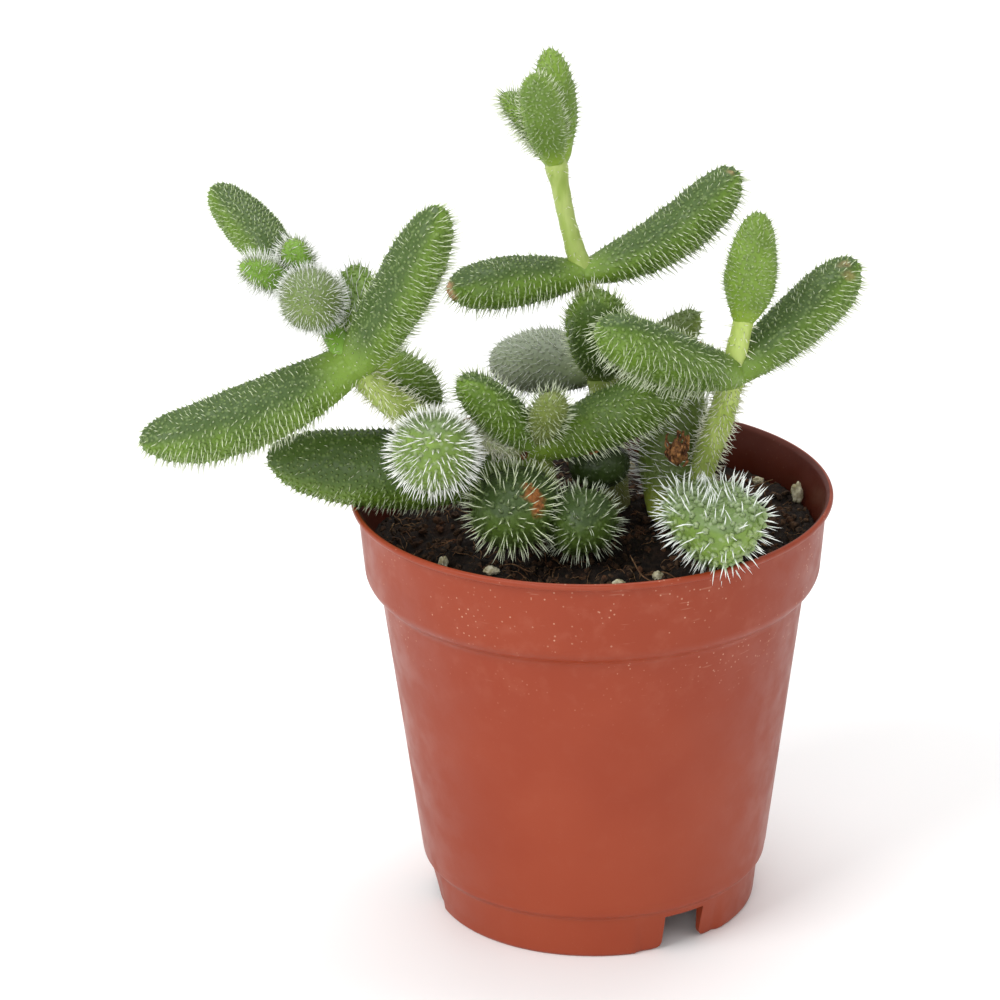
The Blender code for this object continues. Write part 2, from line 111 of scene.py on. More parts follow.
def cones(base, direction, bend, length, radius, sides, rings):
    """Many tapering, curving spikes as one set of arrays. rings: (position along, width) pairs."""
    n = len(base)
    d = unit(direction)
    helper = np.where(np.abs(d[:, 2:3]) < 0.9, np.array([[0, 0, 1.0]]), np.array([[1.0, 0, 0]]))
    e1 = unit(np.cross(d, helper))
    e2 = np.cross(d, e1)
    verts, along = [], []
    for s, w in rings:
        centre = base + d * (length * s)[:, None] + bend * (length * s * s)[:, None]
        for k in range(sides):
            a = 2 * math.pi * k / sides
            verts.append(centre + (e1 * math.cos(a) + e2 * math.sin(a)) * (radius * w)[:, None])
            along.append(np.full(n, s))
    verts.append(base + d * length[:, None] + bend * length[:, None])
    along.append(np.full(n, 1.0))
    per = len(verts)
    verts = np.stack(verts, 1).reshape(-1, 3)
    along = np.stack(along, 1).ravel()
    quads, tris = [], []
    for i in range(len(rings) - 1):
        for k in range(sides):
            n1 = (k + 1) % sides
            quads.append((i * sides + k, i * sides + n1, (i + 1) * sides + n1, (i + 1) * sides + k))
    last = (len(rings) - 1) * sides
    for k in range(sides):
        tris.append((last + k, last + (k + 1) % sides, per - 1))
    for k in range(1, sides - 1):
        tris.append((0, k + 1, k))
    start = (np.arange(n) * per)[:, None, None]
    quads = (np.array(quads).reshape(-1, 4)[None] + start).reshape(-1, 4)
    tris = (np.array(tris)[None] + start).reshape(-1, 3)
    return verts, quads, tris, along, per


# ------------------------------------------------------------------ materials
def node_material(name, rough=0.5, subsurface=0.0, sheen=0.0, coat=0.0, radius=(0.001, 0.001, 0.0005), specular=0.3):
    mat = bpy.data.materials.new(name)
    mat.use_nodes = True
    tree = mat.node_tree
    shader = tree.nodes["Principled BSDF"]
    shader.inputs["Roughness"].default_value = rough
    shader.inputs["Subsurface Weight"].default_value = subsurface
    shader.inputs["Subsurface Radius"].default_value = radius
    shader.inputs["Subsurface Scale"].default_value = 1.0
    shader.inputs["Sheen Weight"].default_value = sheen
    shader.inputs["Coat Weight"].default_value = coat
    shader.inputs["Specular IOR Level"].default_value = specular
    coords = tree.nodes.new("ShaderNodeTexCoord").outputs["Object"]
    return mat, tree, shader, coords


def attribute(tree, name):
    node = tree.nodes.new("ShaderNodeAttribute")
    node.attribute_name = name
    return node.outputs["Fac"]


def noise_tex(tree, coords, scale, detail=3.0, rough=0.55, stretch=None, turn=(0.0, 0.0, 0.0)):
    if stretch:
        mapping = tree.nodes.new("ShaderNodeMapping")
        mapping.inputs["Scale"].default_value = stretch
        mapping.inputs["Rotation"].default_value = turn
        tree.links.new(coords, mapping.inputs["Vector"])
        coords = mapping.outputs["Vector"]
    node = tree.nodes.new("ShaderNodeTexNoise")
    node.inputs["Scale"].default_value = scale
    node.inputs["Detail"].default_value = detail
    node.inputs["Roughness"].default_value = rough
    tree.links.new(coords, node.inputs["Vector"])
    return node.outputs["Fac"]


def voronoi_tex(tree, coords, scale, feature="F1", out="Distance", rand=1.0):
    node = tree.nodes.new("ShaderNodeTexVoronoi")
    node.feature = feature
    node.inputs["Scale"].default_value = scale
    node.inputs["Randomness"].default_value = rand
    tree.links.new(coords, node.inputs["Vector"])
    return node.outputs[out]


def remap(tree, value, a, b, c=0.0, d=1.0, smooth=True):
    node = tree.nodes.new("ShaderNodeMapRange")
    node.interpolation_type = "SMOOTHSTEP" if smooth else "LINEAR"
    node.inputs["From Min"].default_value = a
    node.inputs["From Max"].default_value = b
    node.inputs["To Min"].default_value = c
    node.inputs["To Max"].default_value = d
    tree.links.new(value, node.inputs["Value"])
    return node.outputs["Result"]


def maths(tree, kind, a, b):
    node = tree.nodes.new("ShaderNodeMath")
    node.operation = kind
    for socket, value in zip(node.inputs, (a, b)):
        if isinstance(value, (int, float)):
            socket.default_value = value
        else:
            tree.links.new(value, socket)
    return node.outputs[0]


def mix(tree, fac, a, b):
    node = tree.nodes.new("ShaderNodeMix")
    node.data_type = "RGBA"
    for socket, value in ((node.inputs["Factor"], fac), (node.inputs[6], a), (node.inputs[7], b)):
        if isinstance(value, (int, float)):
            socket.default_value = value
        elif isinstance(value, tuple):
            socket.default_value = (*value, 1.0)
        else:
            tree.links.new(value, socket)
    return node.outputs[2]


def bump(tree, shader, height, strength, distance):
    node = tree.nodes.new("ShaderNodeBump")
    node.inputs["Strength"].default_value = strength
    node.inputs["Distance"].default_value = distance
    tree.links.new(height, node.inputs["Height"])
    tree.links.new(node.outputs["Normal"], shader.inputs["Normal"])
    return node


def leaf_material(name, dark, light, base, top, speck, rough=0.46, fine=1500.0, strength=0.5,
                  worn=((0.210, 0.085, 0.034), (0.470, 0.290, 0.155))):
    """Green skin: mottled, yellower at the stem, paler on each bump; the upper face carries painted shade: it is mixed
    toward the top colour, for most skins a darker, greyer green.
    """
    mat, tree, shader, coords = node_material(name, rough, 0.12, 0.0, 0.0, (0.0008, 0.0012, 0.0003))
    broad = remap(tree, noise_tex(tree, coords, 260.0, 2.0), 0.35, 0.68)
    small = remap(tree, noise_tex(tree, coords, 1300.0, 2.0), 0.38, 0.66)
    colour = mix(tree, maths(tree, "MULTIPLY_ADD", broad, 0.65), dark, light)
    colour = mix(tree, maths(tree, "MULTIPLY", small, 0.35), colour, light)
    # painted shade: up to 80% of the top colour on the upward face of each leaf
    upper = remap(tree, attribute(tree, "upper"), 0.20, 0.75, 0.0, 0.80)
    colour = mix(tree, upper, colour, top)
    near = remap(tree, attribute(tree, "along"), 0.02, 0.26, 0.80, 0.0)
    colour = mix(tree, near, colour, base)
    cells = voronoi_tex(tree, coords, fine)
    pale = remap(tree, cells, 0.12, 0.45, 0.32, 0.0)
    colour = mix(tree, pale, colour, speck)
    peak = maths(tree, "MULTIPLY", attribute(tree, "bump"), 0.42)
    colour = mix(tree, peak, colour, speck)
    scar = attribute(tree, "scar")
    patch = remap(tree, noise_tex(tree, coords, 1900.0, 3.0), 0.30, 0.62, 0.35, 1.0)
    tan = mix(tree, patch, worn[0], worn[1])
    colour = mix(tree, scar, colour, tan)
    tree.links.new(colour, shader.inputs["Base Color"])
    tree.links.new(remap(tree, small, 0, 1, rough - 0.07, rough + 0.12), shader.inputs["Roughness"])
    height = maths(tree, "ADD", remap(tree, cells, 0.0, 0.6, 1.0, 0.0), maths(tree, "MULTIPLY", small, 0.35))
    bump(tree, shader, height, strength, 0.00012)
    return mat


def bristle_material(name, root, tip, rough=0.38, glow=0.25):
    mat, tree, shader, coords = node_material(name, rough, 0.0)
    shader.inputs["Transmission Weight"].default_value = glow
    along = remap(tree, attribute(tree, "along"), 0.0, 0.55)
    tone = remap(tree, noise_tex(tree, coords, 900.0, 1.0), 0.35, 0.65, 0.0, 0.35)
    colour = mix(tree, along, root, tip)
    colour = mix(tree, tone, colour, tuple(c * 0.7 for c in tip))
    tree.links.new(colour, shader.inputs["Base Color"])
    return mat


# the fourth colour of each skin (top) is the painted shade on its upper face
LEAF = leaf_material("leaf_green", (0.036, 0.078, 0.008), (0.126, 0.220, 0.023), (0.190, 0.305, 0.042),
                     (0.043, 0.078, 0.022), (0.290, 0.390, 0.150))
MID = leaf_material("leaf_middle", (0.027, 0.058, 0.005), (0.096, 0.168, 0.015), (0.170, 0.260, 0.028),
                    (0.046, 0.086, 0.015), (0.210, 0.290, 0.090))
# painted shade: leaf_dark is a darker copy of the leaf skin for leaf_front_middle, which sits low in the pot in shade
DARK = leaf_material("leaf_dark", (0.021, 0.043, 0.006), (0.074, 0.125, 0.019), (0.120, 0.190, 0.026),
                     (0.040, 0.068, 0.020), (0.180, 0.240, 0.100))
SCORCHED = leaf_material("leaf_scorched", (0.021, 0.043, 0.006), (0.074, 0.125, 0.019), (0.120, 0.190, 0.026),
                         (0.040, 0.068, 0.020), (0.180, 0.240, 0.100), worn=((0.120, 0.034, 0.008), (0.340, 0.130, 0.036)))
# painted shade: leaf_shade is a much darker copy of the leaf skin for leaf_middle_dark, which lies in the shadow of the
# leaves above it
SHADE = leaf_material("leaf_shade", (0.010, 0.020, 0.004), (0.030, 0.052, 0.010), (0.050, 0.080, 0.015),
                      (0.020, 0.034, 0.010), (0.070, 0.100, 0.040))
OLIVE = leaf_material("leaf_olive", (0.055, 0.088, 0.010), (0.150, 0.215, 0.028), (0.250, 0.300, 0.038),
                      (0.085, 0.130, 0.025), (0.260, 0.310, 0.150))
YOUNG = leaf_material("leaf_young", (0.070, 0.130, 0.015), (0.170, 0.280, 0.035), (0.270, 0.400, 0.045),
                      (0.110, 0.190, 0.028), (0.330, 0.430, 0.190), fine=1900.0)
TENDER = leaf_material("leaf_tender", (0.120, 0.215, 0.030), (0.210, 0.340, 0.055), (0.240, 0.370, 0.060),
                       (0.150, 0.300, 0.030), (0.400, 0.480, 0.260), fine=2400.0)
BUD = leaf_material("leaf_bud", (0.095, 0.130, 0.024), (0.190, 0.240, 0.055), (0.250, 0.300, 0.070),
                    (0.170, 0.210, 0.055), (0.360, 0.400, 0.200), fine=2000.0)
BALL = leaf_material("leaf_ball", (0.070, 0.125, 0.024), (0.180, 0.280, 0.050), (0.200, 0.280, 0.060),
                     (0.130, 0.195, 0.070), (0.440, 0.490, 0.350), fine=1300.0)
FUZZY = leaf_material("leaf_fuzzy", (0.085, 0.140, 0.028), (0.160, 0.225, 0.060), (0.200, 0.310, 0.055),
                      (0.150, 0.210, 0.070), (0.360, 0.400, 0.260), fine=2300.0)
PALE = leaf_material("leaf_pale", (0.180, 0.220, 0.125), (0.290, 0.340, 0.215), (0.180, 0.230, 0.090),
                     (0.270, 0.310, 0.225), (0.380, 0.420, 0.320), strength=0.25)
SPINE = bristle_material("bristle_green", (0.30, 0.40, 0.14), (0.76, 0.82, 0.60), glow=0.0)
GLASSY = bristle_material("bristle_glassy", (0.26, 0.36, 0.17), (0.86, 0.90, 0.86), glow=0.0)
# painted shade: bristle_dim is a dimmer copy of the green bristles, for the two leaves that sit in shade
# (leaf_front_middle, leaf_middle_dark)
DIM = bristle_material("bristle_dim", (0.24, 0.30, 0.14), (0.62, 0.68, 0.52), glow=0.0)
WHITE = bristle_material("bristle_white", (0.55, 0.60, 0.46), (0.95, 0.96, 0.93), glow=0.0)
STEM_HAIR = bristle_material("bristle_stem", (0.52, 0.56, 0.26), (0.90, 0.90, 0.76), glow=0.0)


def stem_material(name, dark, light, grey):
    mat, tree, shader, coords = node_material(name, 0.5, 0.18, 0.0, 0.0, (0.0012, 0.0016, 0.0004))
    streaks = remap(tree, noise_tex(tree, coords, 900.0, 3.0, stretch=(1.0, 1.0, 0.22)), 0.35, 0.65)
    broad = remap(tree, noise_tex(tree, coords, 180.0, 2.0), 0.35, 0.65)
    colour = mix(tree, streaks, dark, light)
    colour = mix(tree, maths(tree, "MULTIPLY", broad, 0.4), colour, light)
    low = attribute(tree, "woody")
    colour = mix(tree, low, colour, grey)
    chalk = maths(tree, "MULTIPLY", attribute(tree, "chalk"), remap(tree, voronoi_tex(tree, coords, 1500.0), 0.10, 0.60, 1.0, 0.35))
    colour = mix(tree, chalk, colour, (0.66, 0.66, 0.56))
    colour = mix(tree, attribute(tree, "fresh"), colour, (0.150, 0.290, 0.030))
    tree.links.new(colour, shader.inputs["Base Color"])
    bump(tree, shader, streaks, 0.35, 0.0001)
    return mat


STEM = stem_material("stem_green", (0.135, 0.200, 0.030), (0.300, 0.370, 0.085), (0.110, 0.075, 0.040))
STEM_CLEAR = stem_material("stem_clear", (0.245, 0.325, 0.060), (0.370, 0.455, 0.130), (0.150, 0.120, 0.050))
STEM_LIGHT = stem_material("stem_light", (0.340, 0.450, 0.085), (0.480, 0.590, 0.170), (0.150, 0.120, 0.050))
STEM_BRIGHT = stem_material("stem_bright", (0.285, 0.385, 0.078), (0.400, 0.490, 0.150), (0.140, 0.130, 0.050))


# ------------------------------------------------------------------ leaves
def leaf_profile(t, neck, widest, power):
    t = np.asarray(t, float)
    grow = neck + (1 - neck) * np.sin(np.clip(t / widest, 0, 1) * math.pi / 2) ** 0.9
    s = np.clip((t - widest) / (1 - widest), 0, 1)
    shrink = np.sqrt(np.maximum(0, 1 - s ** power))
    return np.where(t <= widest, grow, shrink)


class LeafShape:
    """A leaf's smooth surface: position for any (t along, angle round)."""

    def __init__(self, base, tip, width, flat=0.88, bow=(0, 0, 0), neck=0.42, widest=0.55,
                 power=2.3, groove=0.10, seed=0.0, lump=0.10, heart=0.0, roll=0.0):
        self.base = np.array(base, float)
        axis = np.array(tip, float) - self.base
        self.length = float(np.linalg.norm(axis))
        z = axis / self.length
        up = np.array([0, 0, 1.0]) if abs(z[2]) < 0.9 else np.array([0, 1.0, 0])
        x = np.cross(up, z)
        x /= np.linalg.norm(x)
        y = np.cross(z, x)
        self.frame = np.stack([x, y, z], 1)
        self.bend = self.frame.T @ np.array(bow, float)
        self.width, self.flat, self.neck, self.widest = width, flat, neck, widest
        self.power, self.groove, self.seed, self.lump = power, groove, seed, lump
        self.heart, self.roll = heart, math.radians(roll)

    def radius(self, t):
        return self.width / 2 * leaf_profile(t, self.neck, self.widest, self.power)

    def raw(self, t, angle):
        t, angle = np.broadcast_arrays(np.asarray(t, float), np.asarray(angle, float))
        r = self.radius(t)
        arch = 4 * t * (1 - t)
        sine, cosine = np.sin(angle), np.cos(angle)
        facing = np.sin(angle - self.roll)
        across = np.cos(angle - self.roll)
        dent = 1 - self.groove * np.clip(facing, 0, 1) ** 3 * np.exp(-(across / 0.6) ** 2)
        dip = 0.36 * self.heart * np.exp(-(cosine / 0.36) ** 2) * (sine > 0)
        wide = cosine * (1 + self.heart * (0.32 * sine - 0.06))
        high = sine * np.where(sine > 0, 1 - 0.10 * self.heart, 1 + 0.06 * self.heart) - dip
        local = np.stack([r * wide * dent + self.bend[0] * arch,
                          r * self.flat * high * dent + self.bend[1] * arch,
                          t * self.length], -1)
        return self.base + local @ self.frame.T

    def at(self, t, angle):
        p = self.raw(t, angle)
        shape = p.shape
        flat_p = p.reshape(-1, 3)
        out = flat_p - (self.base + np.outer(np.ravel(np.broadcast_to(t, shape[:-1])), self.frame[:, 2] * self.length))
        push = wobble(flat_p, 0.33, self.seed) * self.lump * 2.0 + wobble(flat_p, 0.9, self.seed + 2) * self.lump * 0.5
        return (flat_p + unit(out) * push[:, None]).reshape(shape)

    def normal(self, t, angle, p):
        e = 1e-3
        t1 = np.clip(t - e, 0, 1)
        t2 = np.clip(t + e, 0, 1)
        dt = self.raw(t2, angle) - self.raw(t1, angle)
        da = self.raw(t, angle + 0.01) - self.raw(t, angle - 0.01)
        n = np.cross(da, dt)
        outward = p - (self.base + t[:, None] * self.frame[:, 2] * self.length
                       + (self.frame @ self.bend)[None] * (4 * t * (1 - t))[:, None])
        n = unit(n)
        flip = np.sign(np.sum(n * outward, 1))
        return n * np.where(flip == 0, 1, flip)[:, None], unit(dt)


def scatter(shape, spacing, rng, start=0.10):
    """Staggered rows of points over a leaf, evenly spaced on its surface."""
    t = np.linspace(0, 1, 400)
    r = shape.radius(t) * (1 + shape.flat) / 2
    step = np.hypot(np.diff(t) * shape.length, np.diff(r))
    run = np.concatenate([[0], np.cumsum(step)])
    first = np.interp(start, t, run)
    ts, angles = [], []
    row, pos = 0, first
    while pos < run[-1] - spacing * 0.3:
        tt = float(np.interp(pos, run, t))
        rr = float(np.interp(tt, t, r))
        count = max(3, int(round(2 * math.pi * rr / spacing)))
        offset = (row * 0.5 + rng.uniform(-0.12, 0.12)) * 2 * math.pi / count
        a = offset + np.arange(count) * 2 * math.pi / count
        ts.append(np.full(count, tt) + rng.uniform(-0.22, 0.22, count) * spacing / shape.length)
        angles.append(a + rng.uniform(-0.25, 0.25, count) * 2 * math.pi / count)
        row += 1
        pos += spacing * 0.866
    ts.append(np.array([0.9995]))
    angles.append(np.array([0.3]))
    return np.clip(np.concatenate(ts), 0.0, 0.9995), np.concatenate(angles)


def build_leaf(name, shape, style, skin, spine, seed, scar=None):
    """One leaf: smooth body with a raised bump under every bristle, and its bristles as a second piece."""
    rng = np.random.default_rng(seed)
    cols = 36
    body_t = np.concatenate([np.linspace(0, shape.widest, 20, endpoint=False),
                             shape.widest + (1 - shape.widest) * np.sin(np.linspace(0, 1, 24) * math.pi / 2) ** 0.96])
    body_t = body_t[:-1]
    angles = np.arange(cols) * 2 * math.pi / cols
    T, A = np.meshgrid(body_t, angles, indexing="ij")
    body = shape.at(T, A).reshape(-1, 3)
    # rounded heel where the leaf meets its stem
    heel_rows = 5
    r0 = shape.radius(0.0)
    heel = []
    for j in range(heel_rows):
        f = (j + 1) / (heel_rows + 1)
        ring = shape.raw(np.zeros(cols), angles)
        ring = shape.base + (ring - shape.base) * math.cos(f * math.pi / 2)
        heel.append(ring - shape.frame[:, 2] * r0 * 0.75 * math.sin(f * math.pi / 2))
    heel = heel[::-1]
    verts = np.concatenate(heel + [body])
    rows = heel_rows + len(body_t)
    along = np.concatenate([np.zeros(heel_rows * cols), T.ravel()])
    # this value marks the leaf's upward face, where the skin's colour carries painted shade
    upper = np.tile(np.sin(angles - shape.roll), rows)
    quads = grid_faces(rows, cols)
    tail = len(verts)
    tip = shape.at(np.array([1.0]), np.array([0.0]))
    heel_end = (shape.base - shape.frame[:, 2] * r0 * 0.75)[None]
    verts = np.concatenate([verts, tip, heel_end])
    along = np.concatenate([along, [1.0, 0.0]])
    upper = np.concatenate([upper, [0.0, 0.0]])
    k = np.arange(cols)
    last = (rows - 1) * cols
    caps = np.concatenate([np.stack([last + k, last + (k + 1) % cols, np.full(cols, tail)], 1),
                           np.stack([(k + 1) % cols, k, np.full(cols, tail + 1)], 1)])
    bumps = np.zeros(len(verts))

    # bumps
    ts, an = scatter(shape, style["spacing"], rng, style.get("start", 0.045))
    p = shape.at(ts, an)
    n, fwd = shape.normal(ts, an, p)
    upness = np.sin(an - shape.roll)
    size = rng.uniform(0.8, 1.2, len(ts)) * (1 - 0.35 * np.clip(upness, 0, 1) * style.get("smooth_top", 1.0))
    size *= np.clip((ts - 0.02) / 0.2, 0.35, 1)
    lean = unit(n + fwd * 0.35 * style.get("tilt", 0.5))
    h = style["height"] * size
    a = style["foot"] * size
    bv, bq, bt, bal, per = cones(p - n * (0.05 + 0.1 * a)[:, None], lean, np.zeros_like(p), h + 0.05, a, 5,
                                 [(0.0, 1.0), (0.62, 0.66)])
    first = len(verts)
    verts = np.concatenate([verts, bv])
    along = np.concatenate([along, np.repeat(ts, per)])
    upper = np.concatenate([upper, np.repeat(upness, per)])
    bumps = np.concatenate([bumps, bal])
    scars = np.zeros(len(verts))
    if scar:
        for centre, radius, amount in scar:
            d = np.linalg.norm(verts - np.array(centre), axis=1)
            d = d + wobble(verts, 0.9, 11.0) * radius * 0.45
            scars = np.maximum(scars, amount * np.clip((radius - d) / (radius * 0.35), 0, 1))
    obj = to_object(name, verts, [quads, caps, bq + first, bt + first], [skin],
                    {"along": along, "upper": upper, "bump": bumps, "scar": scars})

    # bristles
    bald = style.get("bald", 0.0) * np.clip((upness - style.get("bald_from", 0.25)) / 0.4, 0, 1)
    keep = rng.uniform(0, 1, len(ts)) < style.get("share", 0.96) * (1 - bald) * np.clip(0.35 + (ts - 0.06) / 0.2, 0, 1)
    keep &= ts > style.get("bristle_start", 0.07)
    pk, nk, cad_, tk, uk, sk = p[keep], n[keep], fwd[keep], ts[keep], upness[keep], size[keep]
    m = len(pk)
    jitter = rng.normal(0, style.get("mess", 0.16), (m, 3))
    upward = shape.frame @ np.array([-math.sin(shape.roll), math.cos(shape.roll), 0.0])
    down = -upward[None] + nk * (nk @ upward)[:, None]
    direction = unit(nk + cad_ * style.get("tilt", 0.5) + down * style.get("droop", 0.0) + np.array(style.get("sway", (0.0, 0.0, 0.0)))
                     + jitter)
    bend = unit(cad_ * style.get("curl_forward", 0.6) + rng.normal(0, 0.6, (m, 3))) * rng.uniform(0.02, style.get("curl", 0.28), (m, 1))
    length = style["length"] * rng.uniform(0.65, 1.2, m)
    length *= 1 - style.get("smooth_top", 1.0) * (0.5 * np.clip(uk, 0, 1) + 0.22 * np.clip(uk, -1, 0))
    length *= np.clip((tk - 0.05) / 0.2, 0.45, 1)
    radius = style["thick"] * rng.uniform(0.8, 1.2, m)
    foot = pk + unit(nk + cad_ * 0.17) * (style["height"] * sk * 0.62)[:, None]
    sv, sq, st, sal, per = cones(foot, direction, bend, length, radius, style.get("sides", 3),
                                 [(0.0, 1.0), (0.30, 0.70), (0.68, 0.42)])
    hair = to_object(name + "_bristles", sv, [sq, st], [spine], {"along": sal})
    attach(obj, "root")
    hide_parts(name)
    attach(hair, "root")
    return obj, hair, len(ts)


STYLES = {
    "mature": dict(spacing=0.72, foot=0.29, height=0.25, length=1.18, thick=0.070, tilt=0.32, mess=0.15, bald=0.4,
                   droop=0.75),
    "dark": dict(spacing=0.76, foot=0.30, height=0.24, length=1.00, thick=0.062, tilt=0.36, mess=0.16, bald=0.65,
                 droop=0.70),
    "pale": dict(spacing=0.80, foot=0.26, height=0.18, length=0.95, thick=0.070, tilt=0.30, mess=0.18, smooth_top=0.0,
                 droop=0.3),
    "soft": dict(spacing=0.60, foot=0.24, height=0.20, length=0.50, thick=0.050, tilt=0.25, mess=0.16, smooth_top=0.2,
                 droop=0.3),
    "shade": dict(spacing=1.0, foot=0.30, height=0.14, length=0.6, thick=0.045, tilt=0.4, mess=0.16, share=0.30, bald=1.0),
    "shaggy": dict(spacing=0.80, foot=0.30, height=0.26, length=1.35, thick=0.070, tilt=0.25, mess=0.18, bald=0.3,
                   droop=0.6),
    "crest": dict(spacing=0.72, foot=0.28, height=0.23, length=1.25, thick=0.068, tilt=0.30, mess=0.16, smooth_top=0.0,
                  droop=0.3),
    "long_hair": dict(spacing=0.84, foot=0.28, height=0.20, length=2.3, thick=0.070, tilt=0.10, mess=0.22,
                      smooth_top=0.0, curl=0.35, sway=(-0.85, -0.1, 0.35)),
    "white_ball": dict(spacing=0.76, foot=0.28, height=0.28, length=1.50, thick=0.092, tilt=-0.22, mess=0.12,
                       smooth_top=0.25, curl=0.20, sides=4),
    "spiny_ball": dict(spacing=1.40, foot=0.50, height=0.55, length=2.0, thick=0.112, tilt=-0.10, mess=0.12,
                       smooth_top=0.0, sides=5, curl=0.18),
    "dark_ball": dict(spacing=1.04, foot=0.32, height=0.36, length=1.80, thick=0.084, tilt=-0.18, mess=0.13,
                      smooth_top=0.1, sides=4, curl=0.20),
    "dim_ball": dict(spacing=1.00, foot=0.30, height=0.28, length=1.50, thick=0.074, tilt=-0.15, mess=0.15,
                     smooth_top=0.3, sides=4, curl=0.22),
    "fuzzy": dict(spacing=0.47, foot=0.15, height=0.10, length=1.05, thick=0.052, tilt=0.05, mess=0.18,
                  smooth_top=0.0, share=0.98, curl=0.30, start=0.02, bristle_start=0.03),
    "fringe": dict(spacing=0.40, foot=0.12, height=0.06, length=1.45, thick=0.068, tilt=0.15, mess=0.18,
                   smooth_top=0.0, share=0.98, curl=0.30, bald=1.0, bald_from=0.62),
    "tip": dict(spacing=0.60, foot=0.22, height=0.18, length=0.85, thick=0.056, tilt=0.30, mess=0.16,
                smooth_top=0.2, bald=0.2, droop=0.3),
    "bud": dict(spacing=0.60, foot=0.20, height=0.16, length=1.35, thick=0.066, tilt=0.60, mess=0.18,
                smooth_top=0.0),
}

